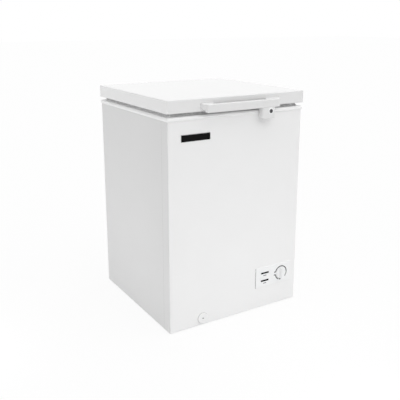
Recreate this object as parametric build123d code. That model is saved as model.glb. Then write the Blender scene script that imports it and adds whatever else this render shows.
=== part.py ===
from build123d import *

import os
from math import atan2, cos, degrees, pi, radians, sin, sqrt

# Small chest freezer: foamed cabinet with a stepped liner, sprung lid, locking handle,
# machine room at the lower right and a hanging wire basket.
# Millimetres. X runs to the right, Y to the back and Z up; the origin is on the floor
# under the middle of the freezer, with the handle and the rear hinges included.

# ---- Driving dimensions: cabinet ----
cabinet_width = 576.0
cabinet_depth = 562.0
foot_height = 5.0
cabinet_height = 787.0  # from the feet to the top of the trim
sheet = 0.8  # steel sheet of the cabinet and the lid
corner_bend = 4.0  # outside bend of the cabinet corners
panel_return = 45.0  # how far the front panel wraps round each side
seam_flange = 12.0  # inward flanges that meet at the side seams
seam_bevel = 0.5  # rounding of the two sheets where they meet at a seam
rear_flange = 20.0  # side panels fold this far over the rear panel
wall = 70.0  # outside of the sheet to the inside of the liner
floor_wall = 60.0  # the same at the floor

# ---- Driving dimensions: trim and liner ----
trim_overhang = 4.5
trim_wall = 3.0
trim_skirt = 14.0  # height of the trim's outer face
trim_slant = 3.0  # lower part of that face, slanting in to the sheet
trim_edge = 5.0  # chamfer round the top of the outer face
ledge_width = 8.0  # ledge that carries the basket
ledge_drop = 12.0
liner_wall = 1.2
liner_radius = 12.0
room_width = 192.0  # machine room, from the right side
room_height = 240.0
room_insulation = 50.0

# ---- Driving dimensions: lid ----
lid_gap = 13.5
lid_thickness = 44.5
lid_overhang = 4.5
lid_rear_overhang = 2.5
lid_edge = 2.5
lid_liner_wall = 2.0
plug_depth = 16.0
plug_clearance = 4.0
plug_draft = 3.0
gasket_inset = 18.0
gasket_width = 16.0
seat_gap = 0.3  # clearance between touching pieces that move apart

# ---- Driving dimensions: refrigeration circuit ----
coil_depth = 6.0
coil_height = 10.0
coil_break = 30.0  # level turns are linked across this gap at the rear
evaporator_turns = 5
evaporator_pitch = 88.0
condenser_turns = 4
condenser_pitch = 112.0
coil_start = 30.0  # first turn above the step of the liner
evaporator_break = 45.0  # from the left of the machine room
condenser_break = 75.0  # from the right side of the cabinet
coil_tail = 10.0  # length of the coil ends inside the machine room
tail_offset = 3.0  # return tail stands clear of the turns
compressor_width = 140.0
compressor_length = 190.0
compressor_height = 160.0
compressor_wall = 3.0
pot_corner = 58.8
pot_shoulder = 24.0
pot_shoulder_run = 16.8
pot_seam = 3.0  # how far the weld seam stands out
pot_seam_rise = 88.0
pot_seam_height = 4.0
motor_radius = 42.0
motor_height = 88.0
pump_width = 44.0
pump_front = 70.0
pump_back = 20.0
pump_rise = 30.0
pump_height = 36.0
relay_width = 52.0
relay_depth = 30.0
relay_height = 50.0
relay_rise = 32.0
port_side = 30.0  # tube ports from the middle of the compressor
port_back = 40.0
discharge_rise = 14.0
suction_rise = 20.0
compressor_back = 166.0  # centre of the compressor from the rear face
tube_radius = 3.0
drier_radius = 9.0
drier_length = 90.0
drier_stub = 14.0
capillary_stub = 8.0
tray_thickness = 1.5
tray_slots = 6
tray_slot = 8.0
tray_slot_pitch = 22.0
tray_slot_setback = 60.0
tray_slot_margin = 40.0
mount_height = 12.0
mount_radius = 11.0
mount_outset = 4.0  # mounts beside the pot
mount_inset = 22.0  # mounts from its ends
foot_plate = 2.0
bolt_radius = 3.0

# ---- Driving dimensions: machine room covers ----
vent_rear = 81.0  # from the rear face
vent_length = 180.0
vent_rise = 50.0  # above the feet
vent_drop = 45.0  # below the roof of the machine room
vent_lap = 8.0
vent_margin = 6.0
vent_slots = 9
vent_bar = 5.0
cover_sheet = 1.0
louvres = 7
louvre_pitch = 22.0
louvre_rise = 62.0  # first louvre above the lower edge of the cover
louvre_height = 9.0
louvre_depth = 5.0
gland_inset = 32.0  # from the right and the lower edge of the cover
gland_bore = 3.6
gland_neck = 6.8
gland_flange = 10.0

# ---- Driving dimensions: handle and lock ----
handle_stand = 24.0  # front of the bar from the face of the lid
handle_width = 342.0
handle_right = 109.5  # from the right side of the cabinet to the right tip
handle_height = 29.5
handle_drop = 4.0  # underside of the bar below the underside of the lid
handle_taper = 17.0
tip_rise = 17.0  # how far the underside rises towards each tip
bar_thickness = 12.0
finger_left_end = 50.5  # from the left tip to the finger gap
finger_right_end = 68.5  # from the right tip to the finger gap
handle_corner = 10.0
handle_edge = 2.0
finger_corner = 5.0
shoulder_rise = 3.0
shoulder_inset = 2.0  # from each tip to the start of its shoulder
housing_width = 61.0
housing_left = 38.0  # left side of the housing from the axis of the lock
housing_drop = 26.5  # underside of the housing below the axis of the lock
housing_wall = 2.5
housing_corner = 10.0
housing_foot = 8.0  # rounding of its lower corners
lock_right = 166.0  # axis of the lock from the right side of the cabinet
lock_drop = 4.0  # axis of the lock below the top of the trim
lock_proud = 1.0
lock_ring_radius = 12.0
barrel_radius = 9.5
core_radius = 7.5
running_fit = 0.05
cam_length = 18.0
cam_width = 8.0
cam_thickness = 2.0
strike_sheet = 1.5
strike_width = 9.0
strike_lap = 1.0  # the hook reaches this far past the front of the cam

# ---- Driving dimensions: hinges ----
hinge_screw = 14.0  # length under the head
hinge_inset = 103.0  # centre of a hinge from the side of the cabinet
hinge_reach = 28.5  # behind the rear face of the cabinet
hinge_width = 44.0
hinge_plate = 2.0
hinge_drop = 92.0  # lower screws of a hinge below the top of the trim
leaf_width = 60.0
pin_radius = 4.0
pin_setback = 16.0  # behind the rear face of the cabinet
pin_drop = 5.5  # below the underside of the lid
lid_opening = 80.0  # degrees
cam_lobe = 12.0
cam_drop = 5.0  # the spring lengthens by this as the lid opens
spring_radius = 9.0
spring_wire = 2.4
spring_turns = 5

# ---- Driving dimensions: front fittings ----
badge_width = 117.0
badge_height = 25.0
badge_left = 51.0  # from the left side of the cabinet
badge_drop = 62.0  # below the top of the trim
badge_thickness = 1.2
panel_width = 168.0
panel_height = 81.5
panel_right = 28.0  # from the right side of the cabinet
panel_rise = 84.5  # underside of the panel above the feet
panel_proud = 2.5
panel_depth = 38.0
panel_wall = 2.0
panel_lap = 6.0  # face of the panel beyond its box
lens_width = 38.0
lens_height = 7.0
lens_pitch = 32.0
lens_left = 24.0  # from the left edge of the panel
knob_right = 45.5  # knob centre from the right edge of the panel
knob_radius = 23.0
knob_skirt = 4.0
knob_depth = 13.0
grip_width = 9.0
shaft_radius = 3.0
thermostat_width = 44.0
thermostat_height = 40.0
thermostat_depth = 22.0
drain_left = 138.0  # from the left side of the cabinet
drain_radius = 9.0
drain_bore = 7.0
drain_flange_radius = 17.0
drain_flange = 1.5
drain_setback = 120.0  # drain hole behind the front face
plug_head_radius = 14.0
drain_cap_radius = 20.5
drain_cap_depth = 4.0
drain_cap_rise = 5.0  # lower edge of the cap above the feet

# ---- Driving dimensions: basket and feet ----
basket_width = 196.0
basket_depth = 180.0
basket_wire = 2.5
basket_mesh_wire = 1.6
basket_side_gap = 8.0
long_hoops = 6  # front to back
cross_hoops = 9  # side to side
foot_radius = 18.0
foot_taper = 2.0
foot_web = 2.0  # plastic left above the screw head
foot_pocket = 5.5
foot_inset = 45.0
screw_radius = 2.0

# ---- Derived levels and planes ----
half_width = cabinet_width / 2
half_depth = cabinet_depth / 2
front_face = -half_depth
rear_face = half_depth
trim_top = foot_height + cabinet_height
panel_top = trim_top - trim_wall
lid_bottom = trim_top + lid_gap
lid_top = lid_bottom + lid_thickness
lid_front = front_face - lid_overhang
lid_rear = rear_face + lid_rear_overhang
handle_front = lid_front - handle_stand
rear_sheet_face = rear_face - sheet  # outer face of the rear panel
base_top = foot_height + sheet
tray_top = foot_height + tray_thickness
room_left = half_width - room_width
room_top = foot_height + room_height
liner_x = half_width - wall
liner_y = half_depth - wall
liner_floor = foot_height + floor_wall
liner_top = trim_top - ledge_drop - trim_wall
step_x = room_left - room_insulation
step_z = room_top + room_insulation
ledge_top = trim_top - ledge_drop
plug_bottom = lid_bottom - plug_depth
hinge_y = rear_face + pin_setback
hinge_x = half_width - hinge_inset
pin_height = lid_bottom - pin_drop
hinge_bottom = trim_top - hinge_drop
hinge_plate_top = trim_top - trim_skirt - 2
handle_tips = (half_width - handle_right - handle_width, half_width - handle_right)
handle_bottom = lid_bottom - handle_drop
handle_top = handle_bottom + handle_height
finger_left = handle_tips[0] + finger_left_end
finger_right = handle_tips[1] - finger_right_end
lock_x = half_width - lock_right
lock_z = trim_top - lock_drop
housing_bottom = lock_z - housing_drop
compressor_y = rear_face - compressor_back
panel_x = half_width - panel_right - panel_width / 2
panel_z = foot_height + panel_rise + panel_height / 2
knob_x = half_width - panel_right - knob_right
drain_x = -half_width + drain_left
drain_y = front_face + drain_setback
badge_top = trim_top - badge_drop
drain_z = foot_height + drain_cap_rise + drain_cap_radius
far = 2 * (cabinet_width + cabinet_depth + trim_top)  # reaches past everything
FROM_BASE = (Align.CENTER, Align.CENTER, Align.MIN)


# ---- Shape helpers ----
def block(x, y, z):
    """Box between two corners; x, y and z are (low, high) pairs."""
    pairs = (x, y, z)
    middle = [(low + high) / 2 for low, high in pairs]
    return Pos(*middle) * Box(*[high - low for low, high in pairs])


def rod(radius, start, end):
    """Round bar from one point to another."""
    start, end = Vector(*start), Vector(*end)
    run = end - start
    return Plane(origin=start, z_dir=run) * Cylinder(radius, run.length, align=FROM_BASE)


def bent_rod(radius, points, sides=None):
    """Bar along straight runs with mitred corners, round or with a number of flats."""
    path = Polyline(*points)
    profile = RegularPolygon(radius, sides, major_radius=False) if sides else Circle(radius)
    turn = Rot(0, 0, 180 / sides) if sides else Rot(0, 0, 0)
    section = Plane(origin=path @ 0, z_dir=path % 0) * turn * profile
    return sweep(section, path, transition=Transition.RIGHT)


def hex_bar(radius, start, end):
    """Six-sided bar from one point to another, for bolt heads and screw shanks."""
    start, end = Vector(*start), Vector(*end)
    run = end - start
    return Plane(origin=start, z_dir=run) * extrude(RegularPolygon(radius, 6), run.length)


def slab(half_x, half_y, radius, z):
    """Rounded rectangle about the origin, extruded between the two levels of z."""
    width, depth = 2 * half_x, 2 * half_y
    plan = RectangleRounded(width, depth, radius) if radius > 0 else Rectangle(width, depth)
    return Pos(0, 0, z[0]) * extrude(plan, z[1] - z[0])


def side_profile(points, x):
    """Outline given as (y, z) points, extruded between the two values of x."""
    face = make_face(Polyline(*[(x[0], y, z) for y, z in points], close=True))
    return extrude(face, x[1] - x[0], dir=(1, 0, 0))


def front_profile(points, y):
    """Outline given as (x, z) points, extruded between the two values of y."""
    face = make_face(Polyline(*[(x, y[0], z) for x, z in points], close=True))
    return extrude(face, y[1] - y[0], dir=(0, 1, 0))


def cut_by(piece, neighbours):
    """Take each neighbour out of a piece that is poured or pressed round it."""
    for neighbour in neighbours:
        piece = piece - neighbour
    return piece


# ---- Cabinet shell ----
def cabinet_slab(inset, z):
    """Plan of the cabinet, moved in by an inset, between two levels."""
    return slab(half_width - inset, half_depth - inset, corner_bend - inset, z)


def cabinet_shell():
    """Ring of sheet that the front and side panels are cut from."""
    z = (foot_height, panel_top)
    return cabinet_slab(0, z) - cabinet_slab(sheet, z)


def seam_flange_at(side, y):
    """Inward flange at a side seam, one sheet thick from y backwards."""
    outer = half_width - sheet
    x = sorted((side * outer, side * (outer - seam_flange)))
    return block(x, (y, y + sheet), (foot_height, panel_top))


def seam_flanges():
    """The four flanges, two back to back at each side seam."""
    seam = front_face + panel_return
    return [seam_flange_at(side, y) for side in (-1, 1) for y in (seam - sheet, seam)]


def seam_vees():
    """Shallow grooves down the outside, where the sheets bend inwards at the side seams."""
    side = sqrt(2) * seam_bevel
    groove = Rot(0, 0, 45) * Box(side, side, far)
    return [Pos(x, front_face + panel_return, 0) * groove for x in (-half_width, half_width)]


def front_panel():
    """Front sheet that wraps round both sides, with its two fittings cut out."""
    seam = front_face + panel_return
    panel = cabinet_shell() & block((-far, far), (-far, seam), (0, far))
    for side in (-1, 1):
        panel += seam_flange_at(side, seam - sheet)
    panel -= block(*control_opening(0.3))
    panel -= rod(drain_radius + 0.2, (drain_x, front_face - 1, drain_z), (drain_x, front_face + 9, drain_z))
    return cut_by(panel, [condenser_coil()] + strike_screw_set() + seam_vees())


def side_panel(side):
    """Side sheet from the front seam to its fold over the rear panel."""
    seam = front_face + panel_return
    edge = half_width - rear_flange
    x = sorted((side * edge, side * far))
    panel = cabinet_shell() & block(x, (seam, far), (0, far))
    panel += seam_flange_at(side, seam)
    return cut_by(panel, [condenser_coil()] + seam_vees())


def right_side_panel():
    """Right side sheet with the opening for the vent grille."""
    return side_panel(1) - block((half_width - 9, half_width + 9), *vent_opening(0))


def rear_panel():
    """Rear sheet inside the folds of the side panels, open over the machine room."""
    z = (foot_height, panel_top)
    panel = cabinet_slab(sheet, z) - cabinet_slab(sheet, z).moved(Pos(0, -sheet, 0))
    panel &= block((-far, far), (rear_sheet_face - sheet, far), (0, far))
    lap = seam_flange
    panel -= block((room_left + lap, half_width - rear_flange), (0, far), (0, room_top - lap))
    return cut_by(panel, hinge_screw_set() + cover_screw_set())


def base_plate():
    """Flat steel floor under the foam, with holes for the foot screws."""
    y = (front_face + sheet, rear_sheet_face - sheet)
    plate = block((-half_width + sheet, room_left), y, (foot_height, base_top))
    plate &= cabinet_slab(sheet, (0, far))
    return cut_by(plate, foot_screw_set() + seam_flanges())


def machine_room_panel():
    """Folded sheet between the foam and the machine room."""
    y = (front_face + sheet, rear_sheet_face - sheet)
    upright = block((room_left - sheet, room_left), y, (base_top, room_top + sheet))
    roof = block((room_left - sheet, half_width - sheet), y, (room_top, room_top + sheet))
    folded = (upright + roof) & cabinet_slab(sheet, (0, far))
    return cut_by(folded, [evaporator_coil(), condenser_coil()] + seam_flanges())


def compressor_tray():
    """Pressed tray under the machine room with its air slots."""
    y = (front_face + sheet, rear_sheet_face - sheet)
    x = (room_left, half_width - sheet)
    tray = block(x, y, (foot_height, tray_top)) & cabinet_slab(sheet, (0, far))
    slot_x = (room_left + tray_slot_margin, half_width - tray_slot_margin)
    for k in range(tray_slots):
        slot_y = front_face + tray_slot_setback + tray_slot_pitch * k
        tray -= block(slot_x, (slot_y, slot_y + tray_slot), (0, tray_top + 1))
    return cut_by(tray, compressor_bolt_set() + foot_screw_set() + seam_flanges())


def top_trim():
    """Moulded frame: outer skirt, flat top, inner wall and the ledge for the basket."""
    grown = trim_overhang
    skirt_bottom = trim_top - trim_skirt
    plan = RectangleRounded(cabinet_width, cabinet_depth, corner_bend)
    slant = extrude(plan, trim_slant, taper=-degrees(atan2(grown, trim_slant)))
    frame = Pos(0, 0, skirt_bottom) * slant
    z = (skirt_bottom + trim_slant, trim_top)
    upper = slab(half_width + grown, half_depth + grown, corner_bend + grown, z)
    frame += chamfer(upper.edges().group_by(Axis.Z)[-1], trim_edge)
    frame -= cabinet_slab(0, (0, panel_top))
    well = trim_wall + ledge_width
    frame += slab(liner_x + well, liner_y + well, liner_radius + well, (liner_top, panel_top))
    opening = ledge_width
    frame -= slab(liner_x + opening, liner_y + opening, liner_radius + opening, (ledge_top, far))
    return frame - slab(liner_x, liner_y, liner_radius, (0, far))


def cavity(grow):
    """Inside of the liner, grown outwards: a deep well at the left, a step at the right."""
    space = slab(liner_x + grow, liner_y + grow, liner_radius + grow, (liner_floor - grow, liner_top))
    return space - block((step_x + grow, far), (-far, far), (-far, step_z - grow))


def inner_liner():
    """Thin stepped tub with a flange under the trim and a hole for the drain."""
    flange = ledge_width + trim_wall
    z = (liner_top - liner_wall, liner_top)
    lip = slab(liner_x + flange, liner_y + flange, liner_radius + flange, z)
    tub = cavity(liner_wall) + lip - cavity(0)
    return tub - rod(drain_radius + 0.2, (drain_x, drain_y, 0), (drain_x, drain_y, liner_floor + 1))


def cabinet_foam():
    """Insulation poured between the panels, the liner and the machine room."""
    z = (base_top, panel_top)
    foam = cabinet_slab(sheet, z) & block((-far, far), (-far, rear_sheet_face - sheet), (0, far))
    foam -= block((room_left - sheet, far), (-far, far), (0, room_top + sheet))
    foam -= cavity(liner_wall)
    flange = ledge_width + trim_wall
    foam -= slab(liner_x + flange, liner_y + flange, liner_radius + flange, (liner_top - liner_wall, far))
    foam = cut_by(foam, [evaporator_coil(), condenser_coil(), drain_space(0.2)])
    return cut_by(foam, seam_flanges() + foot_screw_set() + strike_screw_set() + hinge_screw_set())


# ---- Refrigeration circuit ----
def octagon_plan(half_x, half_y, leg):
    """Rectangle with its corners cut off by equal legs."""
    x, y = half_x - leg, half_y - leg
    points = [(half_x, y), (x, half_y), (-x, half_y), (-half_x, y)]
    points += [(-half_x, -y), (-x, -half_y), (x, -half_y), (half_x, -y)]
    return make_face(Polyline(*points, close=True))


def coil(half_x, half_y, radius, first_z, pitch, turns, break_x, outward):
    """Flattened tube wound in level turns, linked at the rear, with two tails going down."""
    leg_factor = 2 - sqrt(2)
    outer_leg = (radius + coil_depth) * leg_factor
    ring = octagon_plan(half_x + coil_depth, half_y + coil_depth, outer_leg)
    ring -= octagon_plan(half_x, half_y, radius * leg_factor)
    left, right = break_x - coil_break / 2, break_x + coil_break / 2
    rear = (half_y, half_y + coil_depth)
    winding = None
    for turn in range(turns):
        z = first_z + turn * pitch
        level = Pos(0, 0, z) * extrude(ring, coil_height)
        level -= block((left, right), (0, far), (0, far))
        if turn:
            low = z - pitch
            link = [(left, low), (right, z), (right, z + coil_height), (left, low + coil_height)]
            level += front_profile(link, rear)
        winding = level if winding is None else winding + level
    end = room_top - coil_tail
    last_z = first_z + (turns - 1) * pitch
    width = coil_depth
    winding += block((right, right + width), rear, (end, first_z + coil_height))
    step = outward * (coil_depth + tail_offset)
    away = (rear[0] + step, rear[1] + step)
    reach = (min(rear[0], away[0]), max(rear[1], away[1]))
    winding += block((left - width, left), reach, (last_z, last_z + coil_height))
    return winding + block((left - width, left), away, (end, last_z + coil_height))


def evaporator_coil():
    """Cold coil wound on the outside of the liner."""
    half_x, half_y = liner_x + liner_wall, liner_y + liner_wall
    radius = liner_radius + liner_wall
    break_x = room_left + evaporator_break
    return coil(half_x, half_y, radius, step_z + coil_start, evaporator_pitch, evaporator_turns, break_x, 1)


def condenser_coil():
    """Warm coil laid against the inside of the outer panels."""
    inset = 2 * sheet + coil_depth
    half_x, half_y = half_width - inset, half_depth - inset
    break_x = half_width - condenser_break
    start = step_z + coil_start / 2
    return coil(half_x, half_y, 1.0, start, condenser_pitch, condenser_turns, break_x, -1)


def compressor_centre():
    """Plan position of the compressor, in the middle of the machine room's width."""
    return (room_left + half_width - sheet) / 2, compressor_y


def compressor_pot(inset):
    """Oval pot of the compressor, moved in by an inset."""
    x, y = compressor_centre()
    width, length = compressor_width - 2 * inset, compressor_length - 2 * inset
    plan = RectangleRounded(width, length, pot_corner - inset)
    low = compressor_base() + inset
    pot = Pos(x, y, low) * extrude(plan, compressor_height - 2 * inset)
    ends = pot.edges().group_by(Axis.Z)
    return chamfer(ends[0] + ends[-1], pot_shoulder, pot_shoulder_run)


def compressor_base():
    """Level of the underside of the compressor pot."""
    return tray_top + mount_height + 2 * foot_plate


def foot_places():
    """Plan positions of the compressor's four mounts."""
    x, y = compressor_centre()
    dx, dy = compressor_width / 2 + mount_outset, compressor_length / 2 - mount_inset
    return [(x + i * dx, y + j * dy) for i in (-1, 1) for j in (-1, 1)]


def compressor():
    """Welded pot with its seam flange and the foot plate that the mounts carry."""
    x, y = compressor_centre()
    pot = compressor_pot(0) - compressor_pot(compressor_wall)
    width, length = compressor_width + 2 * pot_seam, compressor_length + 2 * pot_seam
    seam = RectangleRounded(width, length, pot_corner + pot_seam)
    seam_z = compressor_base() + pot_seam_rise
    pot += Pos(x, y, seam_z) * extrude(seam, pot_seam_height) - compressor_pot(compressor_wall / 2)
    low = tray_top + mount_height
    half_x = compressor_width / 2 + mount_outset + mount_radius
    half_y = compressor_length / 2 - mount_inset + mount_radius
    plate = Pos(x, y, low) * extrude(octagon_plan(half_x, half_y, 8), foot_plate)
    saddle = octagon_plan(half_x - 30, half_y - 10, 20)
    plate += Pos(x, y, low + foot_plate) * extrude(saddle, foot_plate)
    return pot + cut_by(plate, compressor_bolt_set())


def compressor_motor():
    """Pump and motor block that stands inside the pot."""
    x, y = compressor_centre()
    low = compressor_base() + compressor_wall
    body = rod(motor_radius, (x, y, low), (x, y, low + motor_height))
    head_z = (low + pump_rise, low + pump_rise + pump_height)
    return body + block((x - pump_width / 2, x + pump_width / 2), (y - pump_front, y + pump_back), head_z)


def compressor_mounts():
    """Four tapered rubber mounts between the tray and the compressor's foot plate."""
    mounts = []
    for x, y in foot_places():
        mount = Pos(x, y, tray_top) * extrude(RegularPolygon(mount_radius, 8), mount_height, taper=8)
        mounts.append(cut_by(mount, compressor_bolt_set()))
    return Compound(children=mounts)


def compressor_bolt_set():
    """Four bolts through the mounts, heads on the compressor's foot plate."""
    bolts = []
    for x, y in foot_places():
        top = tray_top + mount_height + foot_plate
        shank = hex_bar(bolt_radius, (x, y, foot_height - 3), (x, y, top))
        bolts.append(hex_bar(2.2 * bolt_radius, (x, y, top), (x, y, top + 4)) + shank)
    return bolts


def relay_box():
    """Starter relay and overload cover clipped to the front of the compressor."""
    x, y = compressor_centre()
    front = y - compressor_length / 2
    low = compressor_base() + relay_rise
    half = relay_width / 2
    box = block((x - half, x + half), (front - relay_depth, y), (low, low + relay_height))
    return box - compressor_pot(0)


def tail_places():
    """Plan positions of the four coil ends: evaporator in and out, condenser in and out."""
    half = coil_depth / 2
    shift = coil_depth + tail_offset
    evaporator_x, evaporator_y = room_left + evaporator_break, liner_y + liner_wall + half
    condenser_x, condenser_y = half_width - condenser_break, half_depth - 2 * sheet - half
    side = coil_break / 2 + half
    return {
        "evaporator_in": (evaporator_x + side, evaporator_y),
        "evaporator_out": (evaporator_x - side, evaporator_y + shift),
        "condenser_in": (condenser_x + side, condenser_y),
        "condenser_out": (condenser_x - side, condenser_y - shift),
    }


def discharge_line():
    """Hot gas tube from the compressor to the condenser."""
    x, y = tail_places()["condenser_in"]
    z = room_top - coil_tail
    cx, cy = compressor_centre()
    port = (cx + port_side, cy + port_back)
    top = compressor_base() + compressor_height
    high = top + discharge_rise
    points = [(*port, top), (*port, high), (x, port[1], high), (x, y, high), (x, y, z)]
    return bent_rod(tube_radius, points, 8)


def suction_line():
    """Return tube from the evaporator to the compressor."""
    x, y = tail_places()["evaporator_out"]
    z = room_top - coil_tail
    cx, cy = compressor_centre()
    port = (cx - port_side, cy + port_back)
    top = compressor_base() + compressor_height
    high = top + suction_rise
    points = [(*port, top), (*port, high), (x, port[1], high), (x, y, high), (x, y, z)]
    return bent_rod(tube_radius, points, 8)


def filter_drier():
    """Copper drier hanging below the condenser's outlet."""
    x, y = tail_places()["condenser_out"]
    top = room_top - coil_tail
    high = top - drier_stub
    low = high - drier_length
    body = rod(drier_radius, (x, y, low), (x, y, high))
    body = chamfer(body.edges().filter_by(GeomType.CIRCLE), 4)
    body += hex_bar(tube_radius, (x, y, high), (x, y, top))
    return body + hex_bar(tube_radius / 2, (x, y, low - capillary_stub), (x, y, low))


def capillary_tube():
    """Thin tube from the drier up to the evaporator's inlet."""
    x, y = tail_places()["condenser_out"]
    low = room_top - coil_tail - drier_stub - drier_length - capillary_stub
    end_x, end_y = tail_places()["evaporator_in"]
    z = room_top - coil_tail
    mid_x = (x + end_x) / 2
    points = [(x, y, low), (x, y, low - 10), (mid_x, y, low - 10), (mid_x, y, z - 20)]
    points += [(end_x, end_y + 12, z - 20), (end_x, end_y, z - 10), (end_x, end_y, z)]
    return bent_rod(tube_radius / 2, points, 6)


# ---- Machine room covers ----
def vent_opening(grow):
    """Opening in the right side for the grille, as (y, z) pairs grown by an amount."""
    back = rear_face - vent_rear
    y = (back - vent_length - grow, back + grow)
    z = (foot_height + vent_rise - grow, room_top - vent_drop + grow)
    return y, z


def side_vent_grille():
    """Moulded grille that snaps into the right side panel."""
    inner = half_width - 6
    proud = 1.6
    (y0, y1), (z0, z1) = vent_opening(vent_lap)
    flange = block((half_width, half_width + proud), (y0, y1), (z0, z1))
    flange = chamfer(flange.faces().sort_by(Axis.X)[-1].edges(), 1)
    neck = block((inner, half_width), *vent_opening(-0.2))
    grille = flange + neck
    (y0, y1), (z0, z1) = vent_opening(-vent_margin)
    pitch = (z1 - z0) / vent_slots
    for k in range(vent_slots):
        slot = (z0 + k * pitch + vent_bar / 2, z0 + (k + 1) * pitch - vent_bar / 2)
        grille -= block((inner - 1, half_width + 9), (y0, y1), slot)
    return grille


def cover_limits():
    """Outline of the rear cover, as (x, z) pairs."""
    lap = seam_flange - 4
    return (room_left + 4, half_width - rear_flange - 0.5), (foot_height + 2, room_top - lap + 6)


def cover_screw_places():
    """Screw positions on the rear cover."""
    (x0, x1), (z0, z1) = cover_limits()
    return [(x0 + 4, z0 + 20), (x0 + 4, z1 - 20), ((x0 + x1) / 2, z1 - 4)]


def rear_cover():
    """Steel cover over the machine room with pressed louvres."""
    (x0, x1), (z0, z1) = cover_limits()
    y0, y1 = rear_sheet_face, rear_sheet_face + cover_sheet
    cover = block((x0, x1), (y0, y1), (z0, z1))
    left, right = x0 + 24, x1 - 14
    tip = y1 + louvre_depth
    for k in range(louvres):
        z = z0 + louvre_rise + louvre_pitch * k
        top = z + louvre_height
        hood = [(y1, top + 1), (tip, z), (tip - cover_sheet, z), (y0, top - 0.8), (y0, top + 1)]
        cover -= block((left, right), (y0 - 1, y1 + 1), (z, top))
        cover += side_profile(hood, (left, right))
    gland_x, gland_z = gland_place()
    cover -= rod(gland_neck + 0.2, (gland_x, y0 - 9, gland_z), (gland_x, y1 + 9, gland_z))
    return cut_by(cover, cover_screw_set())


def screw(x, y, z, length):
    """Hexagon-head screw pointing forwards (-Y) with its head seated at y."""
    head = hex_bar(2 * screw_radius, (x, y, z), (x, y + 2, z))
    return head + hex_bar(screw_radius, (x, y, z), (x, y - length, z))


def cover_screw_set():
    """Screws that hold the rear cover to the rear panel."""
    y = rear_sheet_face + cover_sheet
    return [screw(x, y, z, 6) for x, z in cover_screw_places()]


def gland_place():
    """Position of the cord gland on the rear cover, as (x, z)."""
    (x0, x1), (z0, _) = cover_limits()
    return x1 - gland_inset, z0 + gland_inset


def cord_gland():
    """Strain relief bush for the supply lead."""
    x, z = gland_place()
    y = rear_sheet_face + cover_sheet
    gland = hex_bar(gland_neck, (x, y - 8, z), (x, y, z)) + hex_bar(gland_flange, (x, y, z), (x, y + 3, z))
    gland += hex_bar(gland_neck - 0.8, (x, y + 3, z), (x, y + 12, z))
    return gland - rod(gland_bore, (x, y - 9, z), (x, y + 13, z))


# ---- Feet ----
def foot_centres():
    """Plan positions of the four feet."""
    x, y = half_width - foot_inset, half_depth - foot_inset
    return [(i * x, j * y) for i in (-1, 1) for j in (-1, 1)]


def feet():
    """Four tapered plastic feet under the cabinet."""
    pieces = []
    for x, y in foot_centres():
        underside = RegularPolygon(foot_radius - foot_taper, 16)
        flare = -degrees(atan2(foot_taper, foot_height))
        pad = Pos(x, y, 0) * extrude(underside, foot_height, taper=flare)
        pocket = hex_bar(foot_pocket, (x, y, -1), (x, y, foot_height - foot_web))
        pieces.append(cut_by(pad - pocket, foot_screw_set()))
    return Compound(children=pieces)


def foot_screw_set():
    """One screw through each foot into the cabinet floor."""
    screws = []
    for x, y in foot_centres():
        seat = foot_height - foot_web
        head = hex_bar(foot_pocket - 1, (x, y, seat - 1.5), (x, y, seat))
        screws.append(head + hex_bar(screw_radius, (x, y, seat), (x, y, foot_height + 9)))
    return screws


# ---- Front fittings ----
def badge_plate():
    """Plain plate at the upper left of the front."""
    x = -half_width + badge_left
    y = (front_face - badge_thickness, front_face)
    plate = block((x, x + badge_width), y, (badge_top - badge_height, badge_top))
    return chamfer(plate.faces().sort_by(Axis.Y)[0].edges(), 0.5)


def control_opening(clearance):
    """Space of the control panel's box through the front sheet."""
    x = panel_width / 2 - panel_lap + clearance
    z = panel_height / 2 - panel_lap + clearance
    return (panel_x - x, panel_x + x), (front_face, front_face + panel_depth), (panel_z - z, panel_z + z)


def lens_places():
    """Centres of the two indicator windows, as (x, z)."""
    x = panel_x - panel_width / 2 + lens_left + lens_width / 2
    return [(x, panel_z + k * lens_pitch / 2) for k in (-1, 1)]


def control_panel():
    """Moulded panel: thin face on the sheet and an open box behind it."""
    x, y, z = control_opening(0)
    face = Rot(90, 0, 0) * extrude(RectangleRounded(panel_width, panel_height, 3), panel_proud)
    face = Pos(panel_x, front_face, panel_z) * face
    face = chamfer(face.faces().sort_by(Axis.Y)[0].edges(), 1)
    box = block(x, y, z)
    hollow = block(
        (x[0] + panel_wall, x[1] - panel_wall),
        (y[0] + panel_wall, y[1] + 1),
        (z[0] + panel_wall, z[1] - panel_wall),
    )
    panel = face + box - hollow
    for lens_x, lens_z in lens_places():
        panel -= block(*lens_space(lens_x, lens_z, 0))
    ends = (front_face - 9, front_face + 9)
    return panel - rod(shaft_radius + 0.5, (knob_x, ends[0], panel_z), (knob_x, ends[1], panel_z))


def lens_space(x, z, inset):
    """Space of one indicator window through the face of the panel."""
    half_x, half_z = lens_width / 2 - inset, lens_height / 2 - inset
    y = (front_face - panel_proud - 1 + 1.3 * (inset > 0), front_face + panel_wall)
    return (x - half_x, x + half_x), y, (z - half_z, z + half_z)


def indicator_lenses():
    """Two dark windows set in the control panel."""
    return Compound(children=[block(*lens_space(x, z, 0.1)) for x, z in lens_places()])


def thermostat_body():
    """Thermostat behind the panel, with its bush bore and two tabs."""
    y0 = front_face + panel_wall
    y1 = y0 + thermostat_depth
    half_x, half_z = thermostat_width / 2, thermostat_height / 2
    body = block((knob_x - half_x, knob_x + half_x), (y0, y1), (panel_z - half_z, panel_z + half_z))
    for side in (-1, 1):
        tab = side * 10
        body += block((knob_x + tab - 3, knob_x + tab + 3), (y1, y1 + 8), (panel_z - 0.5, panel_z + 0.5))
    return body - rod(shaft_radius + running_fit, (knob_x, y0 - 1, panel_z), (knob_x, y0 + 14, panel_z))


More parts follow.
